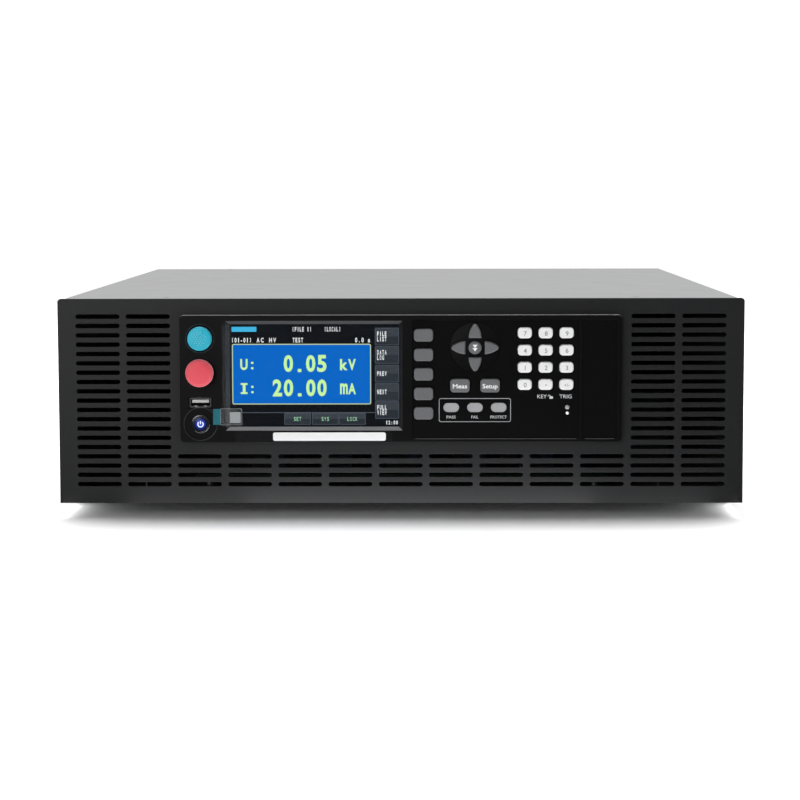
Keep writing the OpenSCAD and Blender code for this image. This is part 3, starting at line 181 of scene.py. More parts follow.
# thin dust on faces that look up, and handling marks in the gloss
def makeDust():
    tree, given, result = startGroup(
        "dustAndMarks",
        {"Color": plainGrey, "Dust Color": (0.5, 0.5, 0.48, 1.0), "Amount": 0.05, "Roughness": 0.4, "Marks": 0.1},
        {"Color": "Color", "Roughness": "Float"},
    )
    facing = splitAxes(tree, addNode(tree, "ShaderNodeNewGeometry").outputs["Normal"])
    upward = rampOf(tree, facing["Z"], sharedLook["dustSlope"], 1.0)
    place = objectPlace(tree)
    specks = mathStep(tree, "MULTIPLY", upward, noiseAt(tree, place, *sharedLook["specks"]))
    mask = mathStep(tree, "MULTIPLY", specks, given["Amount"])
    smear = mathStep(tree, "SUBTRACT", noiseAt(tree, place, *sharedLook["smears"]), 0.5)
    rough = mathStep(tree, "MULTIPLY_ADD", smear, given["Marks"], given["Roughness"])
    rough.node.use_clamp = True
    fill(tree, result, {
        "Color": blendColours(tree, mask, given["Color"], given["Dust Color"]), "Roughness": rough})
    return tree


# faint cell pattern of a lit display
def makeCells():
    tree, given, result = startGroup(
        "displayCells", {"Color": plainGrey, "Pitch": 4200.0, "Depth": 0.12}, {"Color": "Color"}
    )
    values = {"Vector": objectPlace(tree), "Scale": given["Pitch"]}
    waves = [addNode(tree, "ShaderNodeTexWave", {"bands_direction": way}, values).outputs["Fac"] for way in "XZ"]
    lines = mathStep(tree, "MULTIPLY", *waves)
    fill(tree, result, {"Color": shadeBy(tree, given["Color"], lines, given["Depth"])})
    return tree


grainGroup, wearAndHighlightGroup, dustGroup, cellGroup = makeGrain(), makeEdgeWearAndHighlight(), makeDust(), makeCells()
print("shader groups made")

# finishes
baseLook = {
    "colour": "#808080", "rough": 0.45, "metal": 0.0, "gloss": 0.5, "coat": 0.0, "coatRough": 0.08,
    "grain": 1500.0, "tone": 0.12, "patch": 14.0, "bump": 0.15, "depth": 0.00004,
    "wear": "#b0b0b0", "wearAmount": 0.5, "edge": 0.0003, "dust": 0.02, "marks": 0.1,
    "glow": None, "glowPower": 1.0, "alpha": 1.0, "sheen": 0.0,
}
lookSockets = {
    "metal": "Metallic", "gloss": "Specular IOR Level", "coat": "Coat Weight", "coatRough": "Coat Roughness",
    "sheen": "Sheen Weight", "alpha": "Alpha",
}


def placeGroup(tree, group, values):
    return addNode(tree, "ShaderNodeGroup", {"node_tree": group}, values).outputs


def newMaterial(name):
    made = bpy.data.materials.new(name)
    made.use_nodes = True
    return made, made.node_tree, made.node_tree.nodes["Principled BSDF"]


def makeFinish(name, **changes):
    look = {**baseLook, **changes}
    made, tree, shader = newMaterial(name)
    grain = placeGroup(tree, grainGroup, {
        "Color": tint(look["colour"]), "Scale": look["grain"], "Tone": look["tone"], "Patch Scale": look["patch"]})
    wear = placeGroup(tree, wearAndHighlightGroup, {
        "Color": grain["Color"], "Wear Color": tint(look["wear"]), "Width": look["edge"],
        "Amount": look["wearAmount"]})
    dust = placeGroup(tree, dustGroup, {
        "Color": wear["Color"], "Amount": look["dust"], "Roughness": look["rough"], "Marks": look["marks"]})
    bump = addNode(tree, "ShaderNodeBump", None, {
        "Strength": look["bump"], "Distance": look["depth"], "Height": grain["Height"], "Normal": wear["Normal"]})
    fill(tree, shader, {
        "Base Color": dust["Color"], "Roughness": dust["Roughness"], "Normal": bump.outputs["Normal"],
        **{socket: look[key] for key, socket in lookSockets.items()}})
    if look["glow"]:
        cells = placeGroup(tree, cellGroup, {"Color": tint(look["glow"])})
        fill(tree, shader, {"Emission Color": cells["Color"], "Emission Strength": look["glowPower"]})
    return made


def makeAll(looks):
    return {name: makeFinish(name, **look) for name, look in looks.items()}


finishes = {
    "dark_paint": dict(colour="#1e1f21", rough=0.46, grain=2600, bump=0.35, depth=0.00003, wear="#4a4c50",
        edge=0.0005),
    "cover_paint": dict(colour="#262729", rough=0.36, gloss=0.33, grain=2600, tone=0.06, bump=0.1, depth=0.00002,
        marks=0.05, wear="#55585c", edge=0.0006),
    "sheet_steel": dict(colour="#9a9c9e", rough=0.42, metal=0.9, grain=240, tone=0.3, wear="#d8d8d8"),
    "rear_paint": dict(colour="#1e1f21", rough=0.5, grain=2600, bump=0.35, depth=0.00003, wear="#55575a"),
    "black_screws": dict(colour="#17181a", rough=0.4, metal=0.6, wear="#6c6e70", edge=0.0002),
    "bright_steel": dict(colour="#c4c6c8", rough=0.24, metal=1.0, grain=900, tone=0.1, wear="#eeeeee"),
    "foot_rubber": dict(colour="#121213", rough=0.85, grain=1200, bump=0.4, wear="#2a2a2a", dust=0.2),
    "bezel_plastic": dict(colour="#0b0b0d", rough=0.38, gloss=0.22, grain=3200, bump=0.12, wear="#45464a",
        edge=0.0005),
    "overlay_film": dict(colour="#080809", rough=0.5, gloss=0.15, grain=4200, bump=0.25, wear="#1d1d20"),
    "screen_glass": dict(colour="#05060a", rough=0.2, gloss=0.2, grain=80, bump=0.0, wear="#101018"),
    # grey keys: the lighter edge colour is a painted highlight on the key edges
    "grey_keys": dict(colour="#68696c", rough=0.5, grain=2400, bump=0.25, wear="#b4b5b7", wearAmount=1.0,
        edge=0.0006),
    "white_keys": dict(colour="#eeeeee", rough=0.38, grain=2000, tone=0.04, bump=0.1, wear="#ffffff",
        edge=0.0004),
    "start_plastic": dict(colour="#18b2cb", rough=0.34, sheen=0.2, grain=1800, tone=0.06, wear="#7cd6de",
        edge=0.0008),
    # STOP: the lighter edge colour is a painted highlight on the rim
    "stop_plastic": dict(colour="#e84454", rough=0.5, sheen=0.7, grain=2600, tone=0.06, wear="#f3a2a8",
        wearAmount=1.5, edge=0.0012),
    "chrome_trim": dict(colour="#8b8d92", rough=0.12, metal=1.0, tone=0.05, bump=0.02, wear="#ffffff"),
    "lens_plastic": dict(colour="#a6a7a9", rough=0.3, tone=0.05, coat=0.3, wear="#d0d0d0", edge=0.0005),
    "socket_metal": dict(colour="#b9bbbe", rough=0.28, metal=1.0, grain=700, wear="#f0f0f0", edge=0.0002),
    "circuit_board": dict(colour="#0d3a22", rough=0.4, grain=420, tone=0.4, wear="#2f7a50"),
    "core_steel": dict(colour="#4b4d50", rough=0.5, metal=0.7, grain=2000, tone=0.3, wear="#8a8c90"),
    "winding": dict(colour="#8a5a24", rough=0.45, grain=1400, tone=0.3, bump=0.5, wear="#c58d4c"),
    # bare aluminium darkened to a dull grey: painted shade, so the parts inside the case stay dark behind the vent
    # slots
    "bare_aluminium": dict(colour="#55575a", rough=0.5, metal=0.8, grain=600, tone=0.15, wear="#6e7073"),
    "fan_plastic": dict(colour="#111214", rough=0.5, grain=2200, bump=0.2, wear="#2c2c30"),
    "inlet_plastic": dict(colour="#0e0e10", rough=0.45, grain=2400, bump=0.2, wear="#2a2a2e"),
    "terminal_plastic": dict(colour="#16171a", rough=0.4, grain=2200, bump=0.15, wear="#34363a"),
    "brass_post": dict(colour="#b08d3e", rough=0.3, metal=1.0, grain=800, wear="#ead08a", edge=0.0002),
}
slotOf = {part["node"]: part["material_slot"] for part in frame["record"]["subparts"]}
coats = makeAll(finishes)


# clear protective film: tinted pull tab, lighter streaked left margin, clear sheet; edges in panel millimetres
# across
filmLook = {
    "tab": "#2c7885", "clear": "#cfd6da", "tabAlpha": 0.8, "marginAlpha": 0.028, "clearAlpha": 0.004,
    "rough": 0.3, "gloss": 0.12, "tabEdge": -112.8, "marginEdge": (-107.0, -106.2),
    "streakNoise": (260.0, 4.0), "streakReach": (1.4, 0.3), "tabGrain": (300.0, 60.0), "clearGrain": (120.0, 30.0),
    "tone": 0.1,
}


def makeFilm(name, look):
    made, tree, shader = newMaterial(name)
    place = objectPlace(tree)
    across = splitAxes(tree, place)["X"]
    tab = mathStep(tree, "LESS_THAN", across, look["tabEdge"] * mm)
    outer, inner = (edge * mm for edge in look["marginEdge"])
    streaks = mathStep(tree, "MULTIPLY_ADD", noiseAt(tree, place, *look["streakNoise"]), *look["streakReach"])
    margin = mathStep(tree, "MULTIPLY", rampOf(tree, across, inner, outer), streaks)
    paleMargin = mathStep(tree, "MULTIPLY", margin, look["marginAlpha"])
    sheets = []
    for key in ("clear", "tab"):
        fine, patch = look[key + "Grain"]
        values = {"Color": tint(look[key]), "Scale": fine, "Tone": look["tone"], "Patch Scale": patch}
        sheets.append(placeGroup(tree, grainGroup, values)["Color"])
    sheet = mathStep(tree, "ADD", paleMargin, look["clearAlpha"])
    alpha = mathStep(tree, "MAXIMUM", mathStep(tree, "MULTIPLY", tab, look["tabAlpha"]), sheet)
    fill(tree, shader, {
        "Base Color": blendColours(tree, tab, *sheets), "Alpha": alpha, "Roughness": look["rough"],
        "Specular IOR Level": look["gloss"]})
    return made


coats["clear_film"] = makeFilm("clear_film", filmLook)

# lit button face: bright middle, dark rim
powerLook = {
    "middle": "#2450e0", "rim": "#060922", "reach": (1.0, 3.9), "power": 1.0,
    "face": dict(colour="#0a1024", rough=0.2, tone=0.05, wear="#24408a", wearAmount=0.2),
}


def makePowerFace(name, look):
    made = makeFinish(name, **look["face"])
    tree = made.node_tree
    low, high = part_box("power_button")
    middle = ((low.x + high.x) / 2, 0, (low.z + high.z) / 2)
    flat = vectorStep(tree, "MULTIPLY", objectPlace(tree), (1, 0, 1))["Vector"]
    away = vectorStep(tree, "DISTANCE", flat, middle)["Value"]
    near, far = (reach * mm for reach in look["reach"])
    fade = rampOf(tree, away, near, far, "SMOOTHSTEP")
    colour = blendColours(tree, fade, tint(look["middle"]), tint(look["rim"]))
    fill(tree, tree.nodes["Principled BSDF"], {"Emission Color": colour, "Emission Strength": look["power"]})
    return made


coats["power_face"] = makePowerFace("power_face", powerLook)
ownCoat = {"top_cover": "cover_paint"}  # same paint, rolled flatter on the big sheet
for name, node in nodes.items():
    node.data.materials.clear()
    node.data.materials.append(coats[ownCoat.get(name, slotOf[name])])
print("finishes on", len(nodes), "nodes")


# second finish on the faces of a node that pass a test of their middle, in frame metres
def paintFaces(node, finish, test):
    mesh = nodes[node].data
    mesh.materials.append(coats[finish])
    last = len(mesh.materials) - 1
    for face in mesh.polygons:
        if test(face.center, face.normal):
            face.material_index = last


twoToneAndPaintedLight = {
    # window bevel finishes: painted light, brightest on the lower bevel, which faces the light
    "bevelTopPaintedLight": dict(colour="#3c3d3f", rough=0.4, tone=0.05),
    "bevelSidePaintedLight": dict(colour="#1c1d1f", rough=0.4, tone=0.05),
    "bevelLowHighlight": dict(colour="#a4a6a8", rough=0.35, tone=0.05),
    "springGrey": dict(colour="#b4b5b3", rough=0.35, tone=0.05),
    "tongueWhite": dict(colour="#b9b9b6", rough=0.4, tone=0.03),
    # painted shade: near black for the USB hollow and the screws' cross recesses
    "paintedShade": dict(colour="#0a0a0b", rough=0.6, gloss=0.2),
    # painted highlights: the bezel's top edge and the lower walls of the slots
    "bezelRimHighlight": dict(colour="#6a6b6e", rough=0.3, tone=0.05),
    "slotEdgeHighlight": dict(colour="#444548", rough=0.4, tone=0.08),
    "lightWhite": dict(colour="#f8f8f8", rough=0.3, tone=0.02, glow="#ffffff", glowPower=0.4),
    "terminalRed": dict(colour="#a8161c", rough=0.38, grain=2200, wear="#d86a6a"),
    "bladeMetal": dict(colour="#c9c2ae", rough=0.3, metal=1.0, wear="#f2ecd8"),
    "chipBlack": dict(colour="#131316", rough=0.45, grain=900),
    "capBlue": dict(colour="#1d2f5c", rough=0.35, tone=0.06),
    "studPlastic": dict(colour="#7fd4e2", rough=0.3, tone=0.04),
}
coats.update(makeAll(twoToneAndPaintedLight))


# separate solids of a node, each as the corners of its box
def solidsOf(node):
    mesh = nodes[node].data
    keys = [tuple(round(value * 1e6) for value in v.co) for v in mesh.vertices]
    parent = {key: key for key in keys}

    def find(key):
        while parent[key] != key:
            parent[key] = parent[parent[key]]
            key = parent[key]
        return key

    for face in mesh.polygons:
        first = find(keys[face.vertices[0]])
        for corner in face.vertices[1:]:
            parent[find(keys[corner])] = first
    groups = {}
    for key in parent:
        groups.setdefault(find(key), []).append(Vector(key) * 1e-6)
    boxes = [[Vector([pick(point[axis] for point in points) for axis in range(3)]) for pick in (min, max)]
             for points in groups.values()]
    return sorted(boxes, key=lambda box: (round(box[0].x, 5), round(box[0].z, 5), round(box[0].y, 5)))


def within(place, low, high, grow=0.0):
    return all(low[axis] - grow <= place[axis] <= high[axis] + grow for axis in range(3))


# window bevels painted lighter than the bezel by how they face the light: a painted highlight on the lower one,
# which faces the light, and dimmer painted light on the top and sides
windowLook = {"reach": 1.2, "slope": 0.3}


def paintWindowBevelLight():
    low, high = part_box("lcd_module")
    reach, slope = Vector((windowLook["reach"] * mm, 1.0, windowLook["reach"] * mm)), windowLook["slope"]
    tests = {
        "bevelTopPaintedLight": lambda way: way.z < -slope,
        "bevelSidePaintedLight": lambda way: abs(way.x) > slope,
        "bevelLowHighlight": lambda way: way.z > slope,
    }

    def bevel(at, way):
        return way.y < -slope and within(at, low - reach, high + reach)

    for finish, test in tests.items():
        paintFaces("bezel", finish, lambda at, way: bevel(at, way) and test(way))


# painted highlights on edges that catch the light from above: the bezel's top, and the lower walls of the panel's
# slots
rimHighlights = {"depth": 1.0, "margin": 5.0, "up": 0.5}


def paintRimHighlights():
    top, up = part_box("bezel")[1].z - rimHighlights["depth"] * mm, rimHighlights["up"]
    paintFaces("bezel", "bezelRimHighlight", lambda at, way: way.z > up and at.z > top)
    below = panelHigh.z - rimHighlights["margin"] * mm
    paintFaces("front_panel", "slotEdgeHighlight", lambda at, way: way.z > up and at.z < below)


# solids picked by their width: the smaller status light is lit, the wider terminal is for high voltage
pickedSolids = {"status_lights": (min, "lightWhite"), "output_terminals": (max, "terminalRed")}
boxSlack = 1e-5  # room round a solid's box, in metres


def paintSolids():
    for node, (pick, finish) in pickedSolids.items():
        low, high = pick(solidsOf(node), key=lambda box: box[1].x - box[0].x)
        paintFaces(node, finish, lambda at, way: within(at, low, high, boxSlack))


# USB socket: painted shade in the hollow, white tongue in its upper half; shares of the half width and half height
usbLook = {"hollow": (0.92, 0.84), "tongue": (-0.1, 0.7), "front": 0.2}


def paintUsb():
    low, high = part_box("usb_socket")
    mid, half = (low + high) / 2, (high - low) / 2
    wide, tall = usbLook["hollow"]
    foot, top = (mid.z + share * half.z for share in usbLook["tongue"])
    front = mid.y - usbLook["front"] * mm

    def hollow(at):
        return abs(at.x - mid.x) < wide * half.x and abs(at.z - mid.z) < tall * half.z

    paintFaces("usb_socket", "paintedShade", lambda at, way: hollow(at))
    paintFaces("usb_socket", "tongueWhite", lambda at, way: hollow(at) and at.y < front and foot < at.z < top)


# blades of the mains inlet, in the plug's layout
inletBlades = {"across": 7.0, "rise": 2.0, "reach": (1.2, 2.2), "back": 4.0}


def paintInlet():
    low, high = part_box("mains_inlet")
    mid = (low + high) / 2
    wide, tall = inletBlades["reach"]

    def blade(at):
        spots = [(side * inletBlades["across"], inletBlades["rise"] * (-1 if side else 1)) for side in (-1, 0, 1)]
        near = any(abs(at.x - mid.x - x * mm) < wide * mm and abs(at.z - mid.z - z * mm) < tall * mm
            for x, z in spots)
        return near and at.y > low.y + inletBlades["back"] * mm

    paintFaces("mains_inlet", "bladeMetal", lambda at, way: blade(at))


# parts that stand on the main board, by their height over its underside
boardLook = {"chipBlack": 2.2, "capBlue": 12.0}


def paintBoards():
    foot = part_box("main_board")[0].z
    for finish, height in boardLook.items():
        paintFaces("main_board", finish, lambda at, way: at.z > foot + height * mm)


for paint in (paintWindowBevelLight, paintRimHighlights, paintSolids, paintUsb, paintInlet, paintBoards):
    paint()
print("two-tone faces painted")


# mesh helpers: drawings are in panel millimetres (across, up), depth runs back from the panel's face
def newDrawing():
    return {"points": [], "faces": [], "inks": []}


def addFaces(drawing, points, faces, ink):
    start = len(drawing["points"])
    drawing["points"] += points
    drawing["faces"] += [tuple(start + i for i in face) for face in faces]
    drawing["inks"] += [ink] * len(faces)


# faces of a solid between two outlines with this many points each
def prismFaces(count):
    faces = [tuple(range(count)), tuple(range(2 * count - 1, count - 1, -1))]
    return faces + [(i, i + count, (i + 1) % count + count, (i + 1) % count) for i in range(count)]


# solid slab with this outline, from its back depth to its front depth
def addSlab(drawing, outline, back, front, ink=0):
    points = [(x, depth, z) for depth in (front, back) for x, z in outline]
    addFaces(drawing, points, prismFaces(len(outline)), ink)


# solid frame between two outlines with as many points each
def addRing(drawing, outer, inner, back, front, ink=0):
    count = len(outer)
    points = [(x, depth, z) for depth in (front, back) for line in (outer, inner) for x, z in line]
    faces = []
    for i in range(count):
        j = (i + 1) % count
        faces.append((i, j, count + j, count + i))
        faces.append((2 * count + i, 3 * count + i, 3 * count + j, 2 * count + j))
        faces.append((i, 2 * count + i, 2 * count + j, j))
        faces.append((count + i, count + j, 3 * count + j, 3 * count + i))
    addFaces(drawing, points, faces, ink)


def roundBox(x, z, w, h, r, steps=5):
    outline = []
    for turn, (sx, sz) in enumerate(((1, 1), (-1, 1), (-1, -1), (1, -1))):
        for step in range(steps + 1):
            angle = math.radians(90 * (turn + step / steps))
            across, up = r * math.cos(angle), r * math.sin(angle)
            outline.append((x + sx * (w / 2 - r) + across, z + sz * (h / 2 - r) + up))
    return outline


def onCircle(x, z, r, turn):
    return x + r * math.cos(turn), z + r * math.sin(turn)


def roundDisc(x, z, r, steps=20):
    return [onCircle(x, z, r, 2 * math.pi * i / steps) for i in range(steps)]


def arcBand(x, z, outer, inner, start, end, steps=20):
    turns = [math.radians(start + (end - start) * i / steps) for i in range(steps + 1)]
    line = [onCircle(x, z, outer, turn) for turn in turns]
    return line + [onCircle(x, z, inner, turn) for turn in reversed(turns)]


# flat letters from the built-in face, and the height of its capitals
def setLetters(words, bold):
    curve = bpy.data.curves.new("words", "FONT")
    curve.body, curve.resolution_u, curve.offset = words, 3, bold
    holder = addObject("words", curve)
    bpy.context.view_layer.update()
    flat = bpy.data.meshes.new_from_object(holder.evaluated_get(bpy.context.evaluated_depsgraph_get()))
    points = [(v.co.x, v.co.y) for v in flat.vertices]
    faces = [tuple(face.vertices) for face in flat.polygons]
    bpy.data.objects.remove(holder)
    bpy.data.curves.remove(curve)
    bpy.data.meshes.remove(flat)
    return points, faces


capital = max(z for _, z in setLetters("H", 0.0)[0])


# words as solid letters; the capitals are this high, and the whole is as wide as asked
def addWords(drawing, words, x, z, height, width, back, front, ink=0, bold=0.0, fit=False):
    flat, faces = setLetters(words, bold)
    xs, zs = [px for px, _ in flat], [pz for _, pz in flat]
    low, tall = (min(zs), max(zs) - min(zs)) if fit else (0.0, capital)
    up = height / tall
    across = width / (max(xs) - min(xs)) if width else up
    mid = (max(xs) + min(xs)) / 2
    points = [(x + (px - mid) * across, z + (pz - low) * up - height / 2) for px, pz in flat]
    count = len(points)
    sides = {(face[i - 1], face[i]) for face in faces for i in range(len(face))}
    shell = faces + [tuple(count + i for i in reversed(face)) for face in faces]
    shell += [(b, a, count + a, count + b) for a, b in sorted(sides) if (b, a) not in sides]
    addFaces(drawing, [(px, depth, pz) for depth in (front, back) for px, pz in points], shell, ink)


# words with one cell for each letter, as on a display; letter widths as shares of a cell
cellWidths = {"[": 0.3, "]": 0.3, "1": 0.3, ".": 0.25, ":": 0.25, "-": 0.5, "I": 0.25, "other": 0.68}


def addCells(drawing, words, x, z, height, pitch, back, front, ink, bold=0.0):
    for place, letter in enumerate(words):
        if letter != " ":
            middle = x + (place - (len(words) - 1) / 2) * pitch
            width = cellWidths.get(letter, cellWidths["other"]) * pitch
            addWords(drawing, letter, middle, z, height, width, back, front, ink, bold, letter in "[]")


# readout letters: stops and the barred I are drawn as blocks, in shares of the letter's height or width
readoutLook = {
    "stop": 0.19, "stopWide": 1.15, "stopRound": 0.25, "colon": (-0.33, 0.15),
    "bar": 0.17, "stem": 0.19, "foot": 0.46, "bold": 0.035,
}


def addReadout(drawing, letter, x, z, h, w, back, front, ink):
    stop = h * readoutLook["stop"]
    if letter in ".:":
        spots = (-h / 2 + stop / 2,) if letter == "." else [h * share for share in readoutLook["colon"]]
        wide, r = stop * readoutLook["stopWide"], stop * readoutLook["stopRound"]
        for rise in spots:
            addSlab(drawing, roundBox(x, z + rise, wide, stop, r), back, front, ink)
    elif letter == "I":
        bar, stem, foot = h / 2 - h * readoutLook["bar"], w * readoutLook["stem"], w * readoutLook["foot"]
        half = [(foot, -h / 2), (foot, -bar), (stem, -bar), (stem, bar), (foot, bar), (foot, h / 2)]
        outline = half + [(-px, pz) for px, pz in reversed(half)]
        addSlab(drawing, [(x + px, z + pz) for px, pz in outline], back, front, ink)
    else:
        addWords(drawing, letter, x, z, h, w, back, front, ink, readoutLook["bold"], True)


# drawing to an object that rides on a body
def finishDrawing(name, drawing, body, inks):
    mesh = bpy.data.meshes.new(name)
    points = [(x * mm, panelLow.y + y * mm, panelLow.z + z * mm) for x, y, z in drawing["points"]]
    mesh.from_pydata(points, [], drawing["faces"])
    for ink in inks:
        mesh.materials.append(coats[ink])
    mesh.polygons.foreach_set("material_index", drawing["inks"])
    mesh.validate()
    shell = bmesh.new()
    shell.from_mesh(mesh)
    bmesh.ops.recalc_face_normals(shell, faces=shell.faces)
    shell.to_mesh(mesh)
    shell.free()
    made = addObject(name, mesh)
    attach(made, body)
    return made


# frame metres to panel millimetres
def toPanel(place):
    return place.x / mm, (place.y - panelLow.y) / mm, (place.z - panelLow.z) / mm


# a node's middle across and up, and its front face, in panel millimetres
def onPanel(node):
    low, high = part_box(node)
    x, _, z = toPanel((low + high) / 2)
    return x, toPanel(low)[1], z


# display picture: lit inks, then places from the display's middle in millimetres
glowLook = dict(colour="#030303", rough=0.4, gloss=0.03, bump=0.0, tone=0.02, wearAmount=0.0, dust=0.0,
    edge=0.00001)


def makeGlow(name, colour, power=1.0):
    return makeFinish(name, **glowLook, glow=colour, glowPower=power)


screen = {
    "size": (106.3, 64.4), "lift": 0.04, "margin": 1.3, "round": 0.5,
    "blue": (-7.9, 0.8, 85.9, 36.9), "border": 0.6, "blueRound": (1.2, 0.8),
    "button": {"round": (0.6, 0.4), "rim": 0.25, "drop": 0.12},
    "sideX": 45.6, "sideZ": (24.4, 12.8, 1.1, -10.4, -21.8), "sideSize": (14.9, 10.9),
    "sideWords": (("FILE", "LIST"), ("DATA", "LOG"), ("PREV",), ("NEXT",), ("FULL", "VIEW")),
    "sideText": (-5.6, 2.7, 1.6, 3.3),  # left edge in the button, letter height, spacing, row spacing
    "sideBold": 0.03, "footX": (-10.6, 6.8, 23.8), "footZ": -27.4, "footSize": (16.6, 7.4),
    "footWords": ("SET", "SYS", "LOCK"), "footText": (2.4, 1.7),
    "rule": (-3.7, -23.4, 83.5, 0.35, 0.1), "bar": (-43.8, 29.0, 15.6, 3.1, 0.3),
    "patch": (-50.0, -26.5, 7.2, 6.9, 0.3),
    "small": (  # letters, middle, height over the display's middle, letter height, spacing
        ("[FILE 1]", -7.6, 29.0, 2.6, 1.55), ("[LOCAL]", 11.6, 29.0, 2.6, 1.5),
        ("[01-01]", -45.4, 22.2, 2.7, 1.85),
        ("AC HV", -29.8, 22.2, 2.7, 2.6), ("TEST", -10.1, 22.2, 2.7, 1.75), ("0.0 s", 30.4, 22.2, 2.7, 2.0),
        ("12:00", 48.6, -29.7, 2.2, 1.6)),
    "readout": (  # letters, left edge, middle height, letter height, letter width, spacing
        ("U:", -46.3, 6.9, 7.0, 4.6, 5.2), ("0.05", -19.1, 7.5, 10.8, 5.9, 7.0), ("kV", 16.2, 6.8, 7.0, 4.8, 5.1),
        ("I:", -46.3, -8.2, 6.9, 4.6, 5.2), ("20.00", -26.1, -7.8, 10.8, 5.9, 7.0),
        ("mA", 16.2, -8.4, 6.9, 4.8, 5.1)),
}
screenGlow = {
    "night": "#0f1217", "blue": "#0569cd", "line": "#c6d6a4", "box": "#3d434a", "boxLow": "#2b3138",
    "edge": "#1b1d20", "white": "#eef2f4", "readout": "#cfffa6", "green": "#b4f5c6", "cyan": "#44bdea",
    "patch": "#9a9fa1", "rim": "#59626e",
}
glowPowers = {"white": 1.1}
for key, colour in screenGlow.items():
    coats[key] = makeGlow("display" + key[0].upper() + key[1:], colour, glowPowers.get(key, 1.0))


def drawScreen():
    inkNames = list(screenGlow)
    x0, face, z0 = onPanel("lcd_module")
    picture = newDrawing()
    step = screen["lift"]

    def layer(number):
        return face - step * (number - 1), face - step * number

    def box(x, z, w, h, r, number, ink):
        addSlab(picture, roundBox(x0 + x, z0 + z, w, h, r), *layer(number), inkNames.index(ink))

    # soft button: rim, lighter upper part, darker lower part
    def button(x, z, w, h):
        outer, inner = screen["button"]["round"]
        rim, drop = screen["button"]["rim"], screen["button"]["drop"]
        box(x, z, w, h, outer, 3, "rim")
        box(x, z, w - 2 * rim, h - 2 * rim, inner, 4, "box")
        box(x, z - h / 4 + drop, w - 2 * rim, h / 2 - rim, inner, 5, "boxLow")

    def cells(words, x, z, height, pitch, ink, bold=0.0):
        addCells(picture, words, x0 + x, z0 + z, height, pitch, *layer(6), inkNames.index(ink), bold)

    w, h = screen["size"]
    box(0, 0, w, h, screen["round"], 1, "edge")
    box(screen["margin"] / 2, 0, w - screen["margin"], h, screen["round"], 2, "night")
    x, z, w, h = screen["blue"]
    edge, (outer, inner) = screen["border"], screen["blueRound"]
    box(x, z, w + 2 * edge, h + 2 * edge, outer, 3, "line")
    box(x, z, w, h, inner, 4, "blue")
    left, tall, pitch, rows = screen["sideText"]
    x, (w, h) = screen["sideX"], screen["sideSize"]
    for z, lines in zip(screen["sideZ"], screen["sideWords"]):
        button(x, z, w, h)
        for row, words in enumerate(lines):
            rise = ((len(lines) - 1) / 2 - row) * rows
            start = x + left + (len(words) - 1) / 2 * pitch
            cells(words, start, z + rise, tall, pitch, "white", screen["sideBold"])
    z, (w, h) = screen["footZ"], screen["footSize"]
    for x, words in zip(screen["footX"], screen["footWords"]):
        button(x, z, w, h)
        cells(words, x, z, *screen["footText"], "green")
    for key, ink in (("rule", "rim"), ("bar", "cyan"), ("patch", "patch")):
        box(*screen[key], 3, ink)
    for words, x, z, height, pitch in screen["small"]:
        cells(words, x, z, height, pitch, "white", screen["sideBold"])
    for words, x, z, h, w, pitch in screen["readout"]:
        for place, letter in enumerate(words):
            middle = x0 + x + place * pitch + w / 2
            addReadout(picture, letter, middle, z0 + z, h, w, *layer(5), inkNames.index("readout"))
    finishDrawing("display_picture", picture, "case", inkNames)


drawScreen()
print("display drawn")


# depth of a node's foremost broad face
def flatFront(node, least=200e-6):
    areas = {}
    for face in nodes[node].data.polygons:
        if face.normal.y < -0.99:
            depth = round(toPanel(face.center)[1], 2)
            areas[depth] = areas.get(depth, 0) + face.area
    return min(depth for depth, area in areas.items() if area > least)


onBezel = flatFront("bezel")
print("bezel face at", onBezel)

# printed marks on the bezel and the overlays
flatPrint = dict(rough=0.5, tone=0.04, bump=0.05, wearAmount=0.0, edge=0.00001)
inkLooks = {
    "printGrey": dict(flatPrint, colour="#dcdfe1"),
    "lineGrey": dict(flatPrint, colour="#b4b7ba"),
    "digitGrey": dict(flatPrint, colour="#8b8e91"),
    "iconWhite": dict(flatPrint, colour="#f2f3f3", rough=0.45, tone=0.03),
    # painted highlights: lighter grey on the beads and on the strips under the key fields
    "beadHighlight": dict(colour="#3a3b3e", rough=0.25, bump=0.02, wearAmount=0.0),
    "lipGrey": dict(colour="#4c4d50", rough=0.35, bump=0.02, wearAmount=0.0),
    "tapeSheet": dict(colour="#c9cfd2", rough=0.3, gloss=0.15, tone=0.1, bump=0.05, alpha=0.03),
    "tapeEdge": dict(colour="#d5dadc", rough=0.3, gloss=0.3, tone=0.1, bump=0.05, alpha=0.4),
    "plateWhite": dict(colour="#f0f1f2", rough=0.35, tone=0.03, bump=0.05, coat=0.4),
    "plateDark": dict(colour="#101013", rough=0.25, tone=0.05, bump=0.05, coat=0.4),
}
coats.update(makeAll(inkLooks))

marks = {  # middle, size and corner radius in panel millimetres, unless noted
    "thin": 0.04, "frame": (46.55, 59.25, 45.0, 14.9, 1.3), "line": 0.35,
    "lights": (("PASS", -14.85, 5.7), ("FAIL", 0.0, 4.4), ("PROTECT", 14.85, 10.2)), "lightsZ": 54.9,
    "lightsH": 1.75,
    "words": (("KEY", 88.5, 67.8, 2.3, 5.9), ("TRIG", 103.2, 67.8, 2.3, 7.6)),
    "lockBody": (94.2, 67.1, 2.2, 1.5, 0.2), "shackle": (93.0, 67.95, 0.85, 0.5, -10, 190),  # swung open
    "plate": (-54.4, 42.5, 98.0, 7.0, 0.8), "strip": (-44.55, 42.65, 70.7, 5.3, 1.2), "plateThick": (0.12, 0.06),
    # left, right, foot, top
    "tape": (-112.8, -99.3, 50.0, 60.4), "tapeRim": 0.22, "tapeThick": 0.04, "tapeRound": (0.4, 0.2),
}


